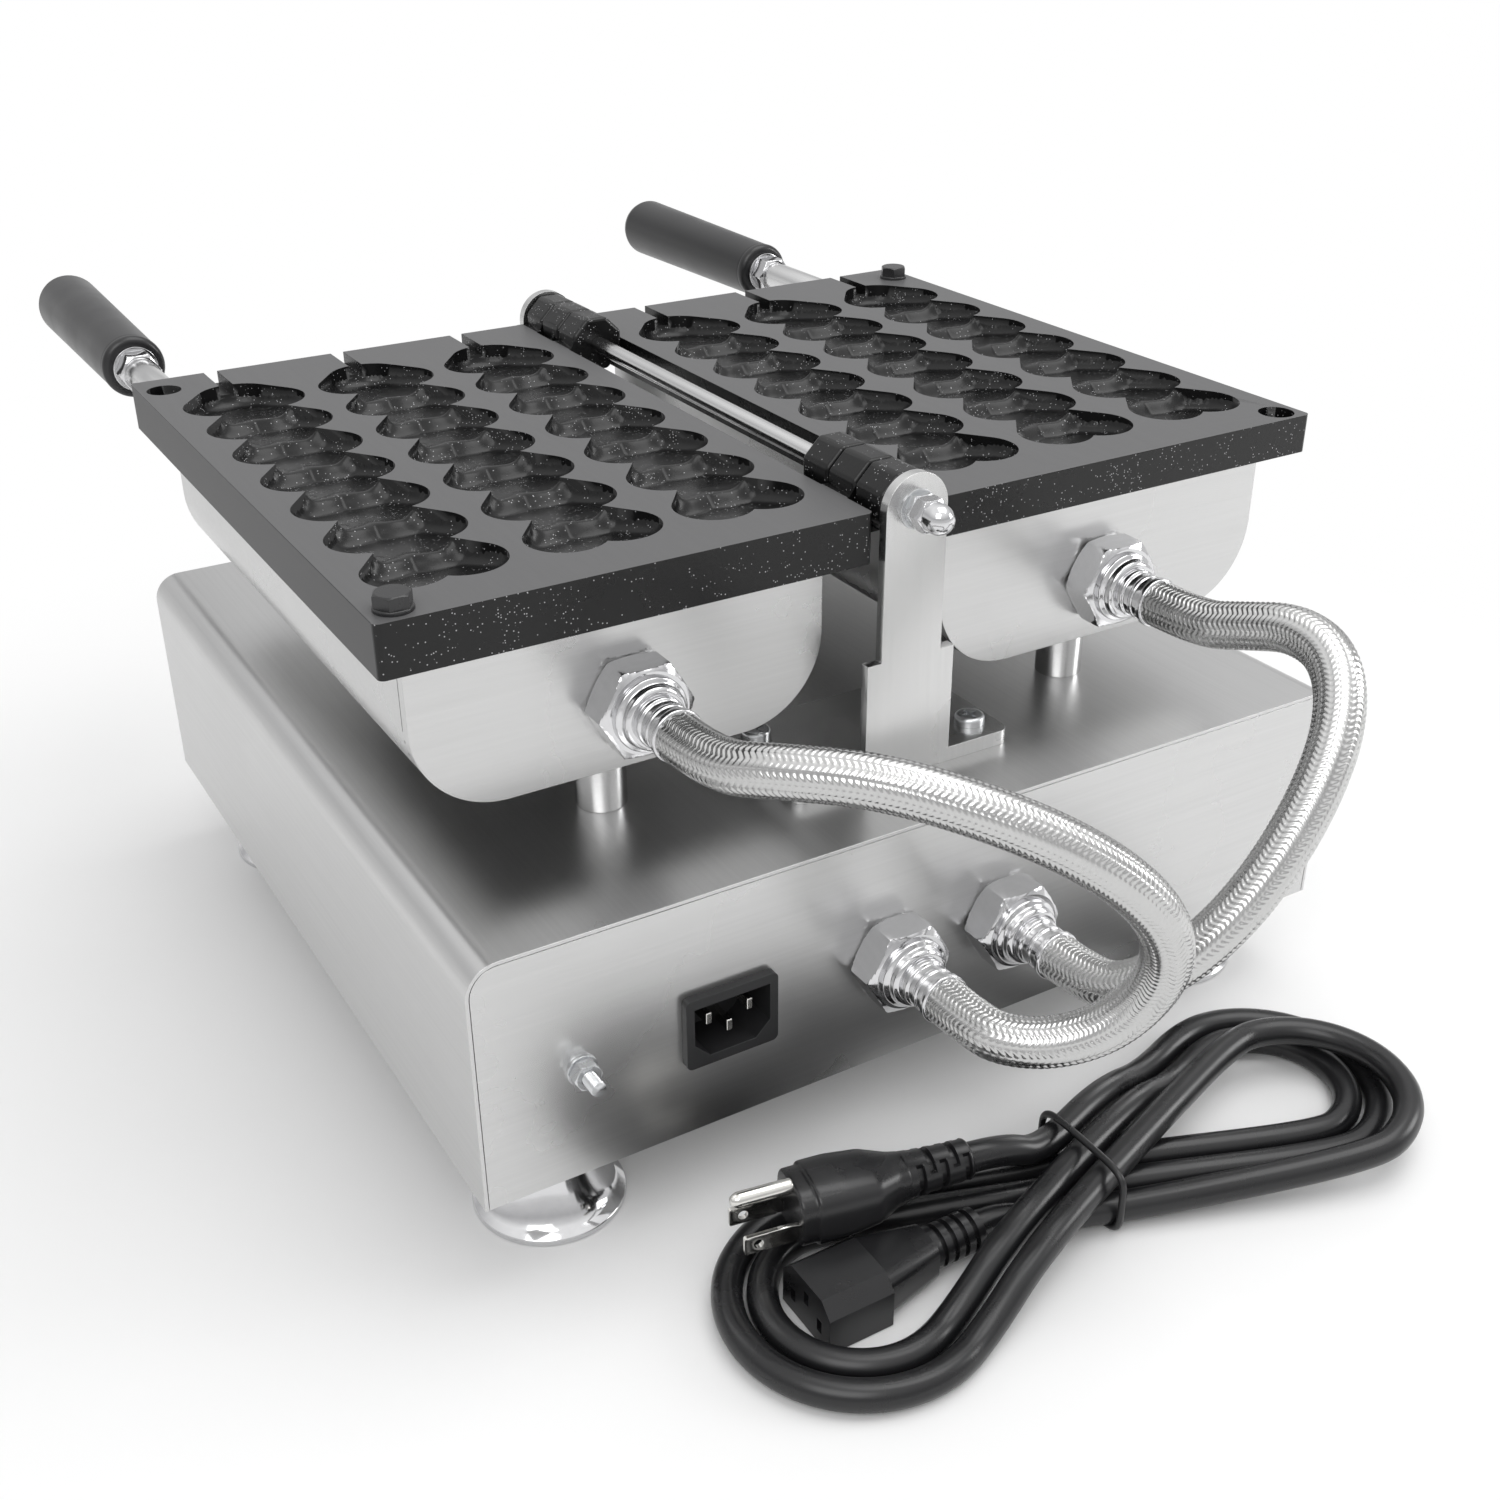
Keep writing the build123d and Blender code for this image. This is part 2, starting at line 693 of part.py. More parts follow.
def make_plate(side):
    """Cast baking plate: knuckles on the hinge rod, three columns of overlapping heart hollows."""
    sign = side_sign[side]
    thickness = plate_thickness[side]
    low = plate_bottom(side)
    hole_y, peg_y = (register_front_y, register_rear_y) if side == "right" else (register_rear_y, register_front_y)
    with BuildPart() as plate:
        with BuildSketch(Plane.XY.offset(low)):
            with Locations((sign * plate_mid_x, plate_front_y + plate_depth / 2)):
                RectangleRounded(plate_width, plate_depth, plate_corner)
        extrude(amount=thickness)
        for start_y in knuckle_starts(side):
            with BuildSketch(across(start_y + knuckle_length)):
                with Locations((0, hinge_z)):
                    RegularPolygon(knuckle_flats / 2, 8, major_radius=False, rotation=22.5)
                with Locations((sign * arm_reach / 2, face_z - arm_height / 2)):
                    Rectangle(arm_reach, arm_height)
            extrude(amount=knuckle_length)
        rod_along_y(0, hinge_z, rod_radius + rod_running_gap, plate_rear_y, plate_front_y, Mode.SUBTRACT)
        for x in column_x:
            for i in range(heart_count):
                middle_y = heart_first_y + i * heart_pitch
                floor = Plane(
                    origin=(sign * x, middle_y, face_z - depth_at_middle),
                    x_dir=(1, 0, 0), z_dir=(0, -floor_slope, 1),
                )
                with BuildSketch(floor):
                    heart(0)
                    if i > 0:
                        heart(-heart_pitch * sqrt(1 + floor_slope ** 2), Mode.SUBTRACT)
                extrude(amount=2 * deep_depth, dir=(0, 0, 1), mode=Mode.SUBTRACT)
            slot_end_y = heart_first_y - tip_reach + tip_radius
            with BuildSketch(Plane.XY.offset(face_z)):
                with Locations((sign * x, (plate_front_y + slot_end_y) / 2)):
                    Rectangle(stick_width, slot_end_y - plate_front_y)
            extrude(amount=-stick_depth, mode=Mode.SUBTRACT)
        with BuildSketch(Plane.XY.offset(face_z)):
            with Locations((sign * register_x, hole_y)):
                Circle(register_hole_radius)
        extrude(amount=-register_hole_depth, mode=Mode.SUBTRACT)
        with BuildSketch(Plane.XY.offset(face_z)):
            with Locations((sign * register_x, peg_y)):
                Circle(peg_shank_radius)
        extrude(amount=-peg_shank_length, mode=Mode.SUBTRACT)
        rod_along_y(
            sign * handle_x[side], low + thickness / 2, handle_stud_radius,
            plate_front_y + handle_thread_depth, plate_front_y, Mode.SUBTRACT,
        )
    save(plate, f"plate_{side}")

    with BuildPart() as register_peg:
        with BuildSketch(Plane.XY.offset(face_z)):
            with Locations((sign * register_x, peg_y)):
                RegularPolygon(peg_flats / 2, 6, major_radius=False)
        extrude(amount=peg_height)
        chamfer(register_peg.edges().group_by(Axis.Z)[-1], peg_chamfer)
        with BuildSketch(Plane.XY.offset(face_z)):
            with Locations((sign * register_x, peg_y)):
                Circle(peg_shank_radius)
        extrude(amount=-peg_shank_length)
    save(register_peg, f"register_peg_{side}")


def make_heater_case(side):
    """Steel tub under a plate, with its heating element and the mineral wool below it."""
    sign = side_sign[side]
    top = plate_bottom(side)
    middle = sign * case_mid_x
    with BuildPart() as case:
        with BuildSketch(across(case_rear_y)):
            rounded_bottom(middle, case_width, case_bottom, top, case_corner)
        extrude(amount=case_rear_y - case_front_y)
        with BuildSketch(across(case_rear_y - case_sheet)):
            rounded_bottom(
                middle, case_width - 2 * case_sheet, case_bottom + case_sheet, top + case_sheet,
                case_corner - case_sheet,
            )
        extrude(amount=case_rear_y - case_front_y - 2 * case_sheet, mode=Mode.SUBTRACT)
        rod_along_y(
            sign * case_gland_x, case_gland_z, gland_thread_radius + bolt_hole_gap,
            case_rear_y, case_rear_y - case_sheet, Mode.SUBTRACT,
        )
    save(case, f"case_{side}")

    heater_z = top - heater_radius
    ends = [heater_rear_y, heater_front_y]
    heater_route = []
    for i, x in enumerate(heater_x):
        heater_route += [(sign * x, ends[i % 2], heater_z), (sign * x, ends[(i + 1) % 2], heater_z)]
    with BuildPart() as heating_element:
        with BuildLine() as heater_line:
            FilletPolyline(*heater_route, radius=heater_bend)
        with BuildSketch(Plane(origin=heater_line.line @ 0, z_dir=heater_line.line % 0)):
            Circle(heater_radius)
        sweep()
    save(heating_element, f"heating_element_{side}")

    with BuildPart() as wool:
        inset = case_sheet + wool_gap
        with BuildSketch(across(case_rear_y - wool_end_gap)):
            rounded_bottom(
                middle, case_width - 2 * inset, case_bottom + inset,
                heater_z - heater_radius - wool_below_heater, case_corner - inset,
            )
        extrude(amount=case_rear_y - case_front_y - wool_end_gap - inset)
    save(wool, f"insulation_{side}")


def make_handle(side):
    """Steel rod screwed into the plate's front edge, lock nut with washer, tapered black grip."""
    x = side_sign[side] * handle_x[side]
    z = plate_bottom(side) + plate_thickness[side] / 2
    nut_end_y = handle_rod_end_y - handle_nut_height
    grip_near_y = nut_end_y - handle_washer_height
    grip_far_y = grip_near_y - grip_length
    with BuildPart() as handle_rod:
        rod_along_y(x, z, handle_stud_radius, plate_front_y + handle_thread_depth, plate_front_y)
        rod_along_y(x, z, handle_rod_radius, plate_front_y, handle_rod_end_y)
        rod_along_y(x, z, handle_stud_radius, handle_rod_end_y, grip_near_y - stud_in_grip)
    save(handle_rod, f"handle_rod_{side}")

    with BuildPart() as handle_nut:
        hex_along_y(x, z, handle_nut_flats, handle_rod_end_y, nut_end_y)
        rod_along_y(x, z, handle_washer_radius, nut_end_y, grip_near_y)
        rod_along_y(x, z, handle_stud_radius, handle_rod_end_y, grip_near_y, Mode.SUBTRACT)
    save(handle_nut, f"handle_nut_{side}")

    with BuildPart() as grip:
        with BuildSketch(Plane(origin=(x, grip_near_y, z), x_dir=(1, 0, 0), z_dir=(0, 0, 1))):
            with BuildLine():
                Polyline(
                    (0, 0), (grip_near_radius - grip_collar_chamfer, 0), (grip_near_radius, -grip_collar_chamfer),
                    (grip_near_radius, -grip_collar), (grip_far_radius, -grip_length), (0, -grip_length), (0, 0),
                )
            make_face()
        revolve(axis=Axis((x, grip_near_y, z), (0, 1, 0)))
        fillet(grip.edges().group_by(Axis.Y)[0], grip_end_round)
        rod_along_y(x, z, handle_stud_radius, grip_near_y, grip_near_y - stud_in_grip, Mode.SUBTRACT)
    save(grip, f"grip_{side}")


def gland(x, wall_y, z):
    """Hexagonal gland against a wall that faces +Y, threaded through it, bored for the wires."""
    hex_end = wall_y + gland_height
    hex_along_y(x, z, gland_flats, hex_end, wall_y)
    rod_along_y(x, z, gland_collar_radius, hex_end + gland_collar_height, hex_end)
    rod_along_y(x, z, gland_thread_radius, wall_y, wall_y - gland_thread_length)
    rod_along_y(
        x, z, hose_bore_radius, hex_end + gland_collar_height, wall_y - gland_thread_length, Mode.SUBTRACT,
    )


def ferrule(x, wall_y, z):
    """Crimped sleeve between the gland's collar and the hose."""
    start = wall_y + gland_height + gland_collar_height
    rod_along_y(x, z, ferrule_radius, start + ferrule_length, start)
    rod_along_y(x, z, crimp_radius, start + crimp_inset + crimp_width, start + crimp_inset)
    rod_along_y(x, z, hose_bore_radius, start + ferrule_length, start, Mode.SUBTRACT)


def make_hose_fittings(side):
    """Gland and ferrule at the rear of one heater case."""
    x = side_sign[side] * case_gland_x
    with BuildPart() as hose_nut:
        gland(x, case_rear_y, case_gland_z)
    save(hose_nut, f"hose_nut_{side}")
    with BuildPart() as hose_ferrule:
        ferrule(x, case_rear_y, case_gland_z)
    save(hose_ferrule, f"hose_ferrule_{side}")


for side in ("right", "left"):
    make_plate(side)
    make_heater_case(side)
    make_handle(side)
    make_hose_fittings(side)

with BuildPart() as base_hose_nuts:
    for side in ("right", "left"):
        gland(base_gland_x[side], panel_rear_y, base_gland_z)
save(base_hose_nuts, "base_hose_nuts")
with BuildPart() as base_hose_ferrules:
    for side in ("right", "left"):
        ferrule(base_gland_x[side], panel_rear_y, base_gland_z)
save(base_hose_ferrules, "base_hose_ferrules")

# Braided hoses from each heater case down to the cabinet
fitting_length = gland_height + gland_collar_height + ferrule_length
case_hose_y = case_rear_y + fitting_length
base_hose_y = panel_rear_y + fitting_length


def hose_route(side):
    """Corners of a hose: straight leads out of both ferrules and the bends between its ends."""
    x = side_sign[side] * case_gland_x
    case_end = Vector(x, case_hose_y, case_gland_z)
    base_end = Vector(base_gland_x[side], base_hose_y, base_gland_z)
    case_lead, base_lead = hose_lead[side]
    bends = hose_bends[side]
    points = [case_end, case_end + Vector(0, case_lead, 0)]
    for i, bend in enumerate(bends, 1):
        points.append(case_end + (base_end - case_end) * (i / (len(bends) + 1)) + Vector(*bend))
    points += [base_end + Vector(0, base_lead, 0), base_end]
    return [tuple(point) for point in points]


hose_routes = {side: hose_route(side) for side in ("right", "left")}
for side, route in hose_routes.items():
    radii = bend_radii(route)
    with BuildPart() as hose:
        with BuildLine() as hose_line:
            FilletPolyline(*route, radius=radii)
        with BuildSketch(Plane(origin=hose_line.line @ 0, z_dir=hose_line.line % 0)):
            Circle(hose_radius)
            Circle(hose_bore_radius, mode=Mode.SUBTRACT)
        sweep()
    save(hose, f"hose_{side}")
    hose_length = hose_line.wires()[0].length
    expected = pi * (hose_radius ** 2 - hose_bore_radius ** 2) * hose_length
    print(f"hose_{side}: length {hose_length:.1f}, radii", [round(r) for r in radii])
    print(f"  volume {hose.part.volume:.0f} of {expected:.0f}")

# Mains inlet with its three pins
with BuildPart() as inlet_housing:
    with BuildSketch(across(panel_rear_y + inlet_flange_proud)):
        with Locations((inlet_x, inlet_z)):
            RectangleRounded(inlet_flange_width, inlet_flange_height, inlet_flange_corner)
    extrude(amount=inlet_flange_proud)
    with BuildSketch(across(panel_rear_y)):
        with Locations((inlet_x, inlet_z)):
            Rectangle(inlet_body_width, inlet_body_height)
    extrude(amount=inlet_body_depth)
    half_width, half_height = inlet_cavity_width / 2, inlet_cavity_height / 2
    with BuildSketch(across(panel_rear_y + inlet_flange_proud)):
        with Locations((inlet_x, inlet_z)):
            Polygon(
                (-half_width, half_height), (half_width, half_height),
                (half_width, inlet_cavity_corner - half_height),
                (half_width - inlet_cavity_corner, -half_height),
                (inlet_cavity_corner - half_width, -half_height),
                (-half_width, inlet_cavity_corner - half_height),
                align=None,
            )
    extrude(amount=inlet_cavity_depth, mode=Mode.SUBTRACT)
    pin_places = [
        (inlet_x - inlet_pin_spacing / 2, inlet_z + inlet_line_pin_z),
        (inlet_x + inlet_pin_spacing / 2, inlet_z + inlet_line_pin_z),
        (inlet_x, inlet_z + inlet_earth_pin_z),
    ]
    with BuildSketch(across(panel_rear_y)):
        with Locations(*pin_places):
            Rectangle(inlet_pin_thickness, inlet_pin_width)
    extrude(amount=inlet_body_depth, mode=Mode.SUBTRACT)
save(inlet_housing, "inlet_housing")

pin_root_y = panel_rear_y + inlet_flange_proud - inlet_cavity_depth
with BuildPart() as inlet_pins:
    with BuildSketch(across(pin_root_y + inlet_pin_length)):
        with Locations(*pin_places):
            Rectangle(inlet_pin_thickness, inlet_pin_width)
    extrude(amount=pin_root_y + inlet_pin_length - panel_rear_y + inlet_body_depth + inlet_pin_tail)
save(inlet_pins, "inlet_pins")

# Earth stud with its nut and washer
with BuildPart() as ground_stud:
    rod_along_y(stud_x, stud_z, stud_tip_radius, panel_rear_y + stud_proud, stud_step_y)
    rod_along_y(stud_x, stud_z, stud_radius, stud_step_y, panel_rear_y - stud_inside)
save(ground_stud, "ground_stud")
with BuildPart() as ground_nut:
    washer_y = panel_rear_y + stud_washer_height
    rod_along_y(stud_x, stud_z, stud_washer_radius, washer_y, panel_rear_y)
    hex_along_y(stud_x, stud_z, stud_nut_flats, washer_y + stud_nut_height, washer_y)
    inside_y = panel_rear_y - sheet
    hex_along_y(stud_x, stud_z, stud_nut_flats, inside_y, inside_y - stud_nut_height)
    rod_along_y(
        stud_x, stud_z, stud_radius, washer_y + stud_nut_height, inside_y - stud_nut_height, Mode.SUBTRACT,
    )
save(ground_nut, "ground_nut")

# Power switch: housing snapped into the front panel, rocker on two side pins
with BuildPart() as switch_housing:
    with BuildSketch(across(panel_front_y)):
        with Locations((switch_x, control_z)):
            RectangleRounded(*switch_bezel, switch_bezel_corner)
    extrude(amount=switch_bezel_proud)
    with BuildSketch(across(panel_front_y + switch_body_depth)):
        with Locations((switch_x, control_z)):
            Rectangle(*switch_body)
    extrude(amount=switch_body_depth)
    with BuildSketch(across(panel_front_y + switch_cavity_depth)):
        with Locations((switch_x, control_z)):
            Rectangle(*switch_cavity)
    extrude(amount=switch_cavity_depth + switch_bezel_proud, mode=Mode.SUBTRACT)
    with BuildSketch(Plane(origin=(switch_x, panel_front_y, control_z), x_dir=(0, 1, 0), z_dir=(1, 0, 0))):
        Circle(rocker_pin_radius + shaft_running_gap)
    extrude(amount=switch_cavity[0] / 2 + rocker_pin_length, both=True, mode=Mode.SUBTRACT)
save(switch_housing, "switch_housing")

rocker_plane = Plane(
    origin=(switch_x, panel_front_y, control_z),
    x_dir=(0, -sin(radians(rocker_tilt)), cos(radians(rocker_tilt))), z_dir=(-1, 0, 0),
)
with BuildPart() as power_rocker:
    with BuildSketch(rocker_plane):
        Polygon(*rocker_outline, align=None)
    extrude(amount=rocker_width / 2, both=True)
    fillet(power_rocker.edges().filter_by(Axis.X).group_by(Axis.Y)[0], rocker_round)
    with BuildSketch(rocker_plane):
        Circle(rocker_pin_radius)
    extrude(amount=switch_cavity[0] / 2 + rocker_pin_length - rocker_pin_end_gap, both=True)
save(power_rocker, "power_rocker")

# Indicator lamps
with BuildPart() as indicator_lamps:
    for x, z in lamp_places:
        bezel_face = panel_front_y - lamp_bezel_height
        rod_along_y(x, z, lamp_bezel_radius, panel_front_y, bezel_face)
        rod_along_y(x, z, lamp_radius, panel_front_y + lamp_body_depth, panel_front_y)
        rod_along_y(x, z, lamp_radius, bezel_face, bezel_face - lamp_dome)
    fillet(indicator_lamps.edges().group_by(Axis.Y)[0], lamp_dome_round)
save(indicator_lamps, "indicator_lamps")


def make_control(kind, body_size):
    """Control body behind the front panel with its fixed spindle, and the knob that turns on it."""
    x = knob_x[kind]
    knob_back = panel_front_y - knob_stand_off
    with BuildPart() as control_body:
        with BuildSketch(across(panel_front_y + sheet + body_size[1])):
            with Locations((x, control_z)):
                RectangleRounded(body_size[0], body_size[2], control_body_corner)
        extrude(amount=body_size[1])
        rod_along_y(
            x, control_z, shaft_radius, panel_front_y + sheet, knob_back - knob_bore_depth + knob_stand_off,
        )
    save(control_body, f"{kind}_body")

    with BuildPart() as knob:
        rod_along_y(x, control_z, knob_skirt_radius, knob_back, knob_back - knob_skirt_height)
        rod_along_y(x, control_z, knob_radius, knob_back - knob_skirt_height, knob_back - knob_height)
        fillet(knob.edges().group_by(Axis.Y)[0], knob_round)
        with BuildSketch(across(knob_back - knob_height + pointer_depth)):
            with Locations((x, control_z + knob_radius / 2)):
                Rectangle(pointer_width, knob_radius)
        extrude(amount=pointer_depth, mode=Mode.SUBTRACT)
        rod_along_y(
            x, control_z, shaft_radius + shaft_running_gap, knob_back, knob_back - knob_bore_depth, Mode.SUBTRACT,
        )
    save(knob, f"{kind}_knob")


make_control("thermostat", thermostat_body_size)
make_control("timer", timer_body_size)

# Terminal block that joins the hoses' wires to the inlet and the controls
with BuildPart() as terminal_block:
    with BuildSketch(Plane.XY.offset(floor_sheet_top)):
        with Locations((terminal_x, terminal_y)):
            Rectangle(terminal_size[0], terminal_size[1])
    extrude(amount=terminal_size[2])
    with BuildSketch(Plane.XY.offset(floor_sheet_top + terminal_size[2])):
        with Locations((terminal_x, terminal_y)):
            with GridLocations(0, terminal_size[1] / terminal_poles, 1, terminal_poles - 1):
                Rectangle(terminal_size[0], terminal_groove_width)
    extrude(amount=-terminal_groove, mode=Mode.SUBTRACT)
save(terminal_block, "terminal_block")


def waist_line(way, offset, along, height):
    """Point on one of the two crossing lines of the hank. way is "over" or "under"."""
    angle = radians(waist_angle)
    if way == "over":
        run, side_way = (-cos(angle), -sin(angle)), (sin(angle), -cos(angle))
    else:
        run, side_way = (cos(angle), -sin(angle)), (sin(angle), cos(angle))
    x = waist_x + along * run[0] + offset * side_way[0]
    y = waist_y + along * run[1] + offset * side_way[1]
    return (x, y, height)


def loop_points(right, radius, offset_in, offset_out, heights):
    """Corners round one end loop: a circle that touches the arriving and the leaving line."""
    angle = radians(waist_angle)
    sign = -1 if right else 1
    centre_x = waist_x + (offset_in + offset_out + sign * 2 * radius) / (2 * sin(angle))
    centre_y = waist_y - sign * (offset_out - offset_in) / (2 * cos(angle))
    sweep_angle = pi + 2 * angle
    step = sweep_angle / loop_sides
    corner_radius = radius / cos(step / 2)
    start = -pi / 2 + angle if right else -pi / 2 - angle
    points = []
    for i in range(loop_sides):
        turned = start - (i + 0.5) * step if right else start + (i + 0.5) * step
        share = i / (loop_sides - 1)
        late = max(0.0, (share - loop_level_share) / (1 - loop_level_share))
        height = heights[0] + (heights[1] - heights[0]) * late
        points.append((centre_x + corner_radius * cos(turned), centre_y + corner_radius * sin(turned), height))
    return points


floor_level = cord_radius
under_level = cord_radius + waist_lift
over_level = under_level + cord_level


def over_run(offset, low_before, low_after):
    """Hump over the waist from the left loop to the right loop."""
    points = []
    if low_before is not None:
        points.append(waist_line("over", offset, -hump_foot, low_before))
        points.append(waist_line("over", offset, -hump_half_length, over_level))
    points.append(waist_line("over", offset, hump_half_length, over_level))
    if low_after is not None:
        points.append(waist_line("over", offset, hump_foot, low_after))
    return points


def under_run(offset):
    """Flat stretch under the waist from the right loop to the left loop."""
    return [waist_line("under", offset, along, under_level) for along in (-waist_flat, waist_flat)]


def hank_route():
    """Corners of the whole cord, from the plug's strain relief to the connector's."""
    outer, middle, inner = cord_pitch, 0.0, -cord_pitch
    large_right, small_right = right_loop_radius + cord_pitch, right_loop_radius
    large_left, small_left = left_loop_radius + cord_pitch, left_loop_radius
    on_floor = (floor_level, floor_level)
    points = [plug_end]
    heading = radians(plug_heading)
    points.append((plug_end[0] - plug_lead * cos(heading), plug_end[1] - plug_lead * sin(heading), plug_end[2]))
    points.append(waist_line("over", outer, plug_strand_level_from, over_level))
    points += over_run(outer, None, floor_level)
    points += loop_points(True, large_right, outer, middle, on_floor)
    points += under_run(middle)
    points += loop_points(False, small_left, middle, middle, on_floor)
    points += over_run(middle, floor_level, floor_level)
    points += loop_points(True, small_right, middle, inner, on_floor)
    points += under_run(inner)
    points += loop_points(False, large_left, inner, inner, on_floor)
    points += over_run(inner, floor_level, None)
    mid_right = (large_right + small_right) / 2
    top = floor_level + cord_level
    points += loop_points(True, mid_right, inner, outer, (top, top - top_loop_fall * cord_level))
    points += [waist_line("under", outer, along, under_level) for along in (-waist_flat, low_until)]
    heading = radians(connector_heading)
    points.append((
        connector_end[0] - connector_lead * cos(heading), connector_end[1] - connector_lead * sin(heading),
        connector_end[2],
    ))
    points.append(connector_end)
    return points


def least_gap(line, radius):
    """Least distance between two stretches of one tube's surface, on points 1.5 mm apart."""
    step = 1.5
    count = int(line.length / step)
    places = np.array([tuple(line @ (i / count)) for i in range(count + 1)])
    spread = np.linalg.norm(places[:, None, :] - places[None, :, :], axis=2)
    apart = np.abs(np.arange(count + 1)[:, None] - np.arange(count + 1)[None, :]) * step
    spread[apart < 8 * radius] = np.inf
    return spread.min() - 2 * radius


hank_points = hank_route()
with BuildPart() as cord_hank:
    with BuildLine() as cord_line:
        FilletPolyline(*hank_points, radius=bend_radii(hank_points))
    with BuildSketch(Plane(origin=cord_line.line @ 0, z_dir=cord_line.line % 0)):
        Circle(cord_radius)
    sweep()
save(cord_hank, "cord_hank")
cord_path = cord_line.wires()[0]
print("cord_hank: length", round(cord_path.length), "points", len(hank_points))
print("  least gap to itself", round(least_gap(cord_path, cord_radius), 2))
print("  least radius", round(min(bend_radii(hank_points)), 1))
print("  volume", round(cord_hank.part.volume), "of", round(pi * cord_radius ** 2 * cord_path.length))

# Thin tie round the hank's waist
with BuildPart() as cord_tie:
    with BuildSketch(Plane(origin=(tie_x + tie_width / 2, waist_y, 0), x_dir=(0, 1, 0), z_dir=(-1, 0, 0))):
        with Locations((0, -tie_inside_z - tie_inside_height / 2)):
            RectangleRounded(tie_inside_width + 2 * tie_wall, tie_inside_height + 2 * tie_wall, tie_corner + tie_wall)
            RectangleRounded(tie_inside_width, tie_inside_height, tie_corner, mode=Mode.SUBTRACT)
    extrude(amount=tie_width)
save(cord_tie, "cord_tie")


def lying(end, heading):
    """Plane at the cord's end whose x points along the piece, its y sideways and its z up."""
    return Plane(origin=end, x_dir=(cos(radians(heading)), sin(radians(heading)), 0), z_dir=(0, 0, 1))


def cut_across(frame, along):
    """Plane across a lying piece, at a distance from the cord's end, facing along the piece."""
    origin = frame.from_local_coords((along, 0, 0))
    return Plane(origin=origin, x_dir=frame.y_dir, z_dir=frame.x_dir)


def grooved_relief(frame, length, radius):
    """Strain relief with its ring grooves."""
    with BuildSketch(cut_across(frame, 0)) as outline:
        Circle(radius)
    extrude(outline.sketch, amount=length)
    for i in range(relief_groove_count):
        along = length * (i + 0.6) / (relief_groove_count + 0.6)
        with BuildSketch(cut_across(frame, along)) as groove:
            Circle(radius + 1)
            Circle(radius - relief_groove_depth, mode=Mode.SUBTRACT)
        extrude(groove.sketch, amount=relief_groove, mode=Mode.SUBTRACT)


plug_frame = lying(plug_end, plug_heading)
plug_body_start = plug_relief_length
with BuildPart() as power_plug:
    grooved_relief(plug_frame, plug_relief_length, plug_relief_radius)
    with BuildSketch(cut_across(plug_frame, plug_body_start)) as neck:
        Circle(plug_relief_radius + plug_neck_step)
    with BuildSketch(cut_across(plug_frame, plug_body_start + plug_neck_length)) as shoulder:
        Circle(plug_body_radius)
    loft()
    with BuildSketch(cut_across(plug_frame, plug_body_start + plug_neck_length)):
        Circle(plug_body_radius)
    extrude(amount=plug_body_length - plug_neck_length)
    plug_face = plug_body_start + plug_body_length
    with BuildSketch(cut_across(plug_frame, plug_face)):
        with Locations((-blade_spacing / 2, -blade_drop), (blade_spacing / 2, -blade_drop)):
            Rectangle(blade_thickness, blade_height)
    extrude(amount=blade_length)
    with BuildSketch(cut_across(plug_frame, plug_face)):
        with Locations((0, earth_prong_offset - blade_drop)):
            Circle(earth_prong_radius)
    extrude(amount=blade_length + earth_prong_extra)
save(power_plug, "power_plug")

connector_frame = lying(connector_end, connector_heading)
with BuildPart() as cord_connector:
    grooved_relief(connector_frame, connector_relief_length, connector_relief_radius)
    with BuildSketch(cut_across(connector_frame, connector_relief_length)):
        RectangleRounded(*connector_neck, connector_body_corner)
    with BuildSketch(cut_across(connector_frame, connector_relief_length + connector_body_length)):
        RectangleRounded(*connector_shoulder, connector_body_corner)
    loft()
    head_start = connector_relief_length + connector_body_length
    half_width, half_height = connector_head[0] / 2, connector_head[1] / 2
    with BuildSketch(cut_across(connector_frame, head_start)):
        Polygon(
            (-half_width, -half_height), (half_width, -half_height),
            (half_width, half_height - connector_corner), (half_width - connector_corner, half_height),
            (connector_corner - half_width, half_height), (-half_width, half_height - connector_corner),
            align=None,
        )
    extrude(amount=connector_head_length)
    with BuildSketch(cut_across(connector_frame, head_start + connector_head_length)):
        with Locations(*connector_slot_places):
            Rectangle(connector_slot[1], connector_slot[0])
    extrude(amount=-connector_slot_depth, mode=Mode.SUBTRACT)
save(cord_connector, "cord_connector")
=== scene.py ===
"""Dressing of the stick waffle maker: baking plates, steel cabinet, braided hoses and cord set.

Lengths are in millimetres until a mesh is made, which puts them in metres. The frame is the CAD's:
+Z up, handles at -Y, inlet and hoses at +Y, "right" pieces at +X.
"""
import json
from math import cos, pi, radians, sin

import bmesh
import bpy
import numpy as np
from mathutils import Matrix, Vector

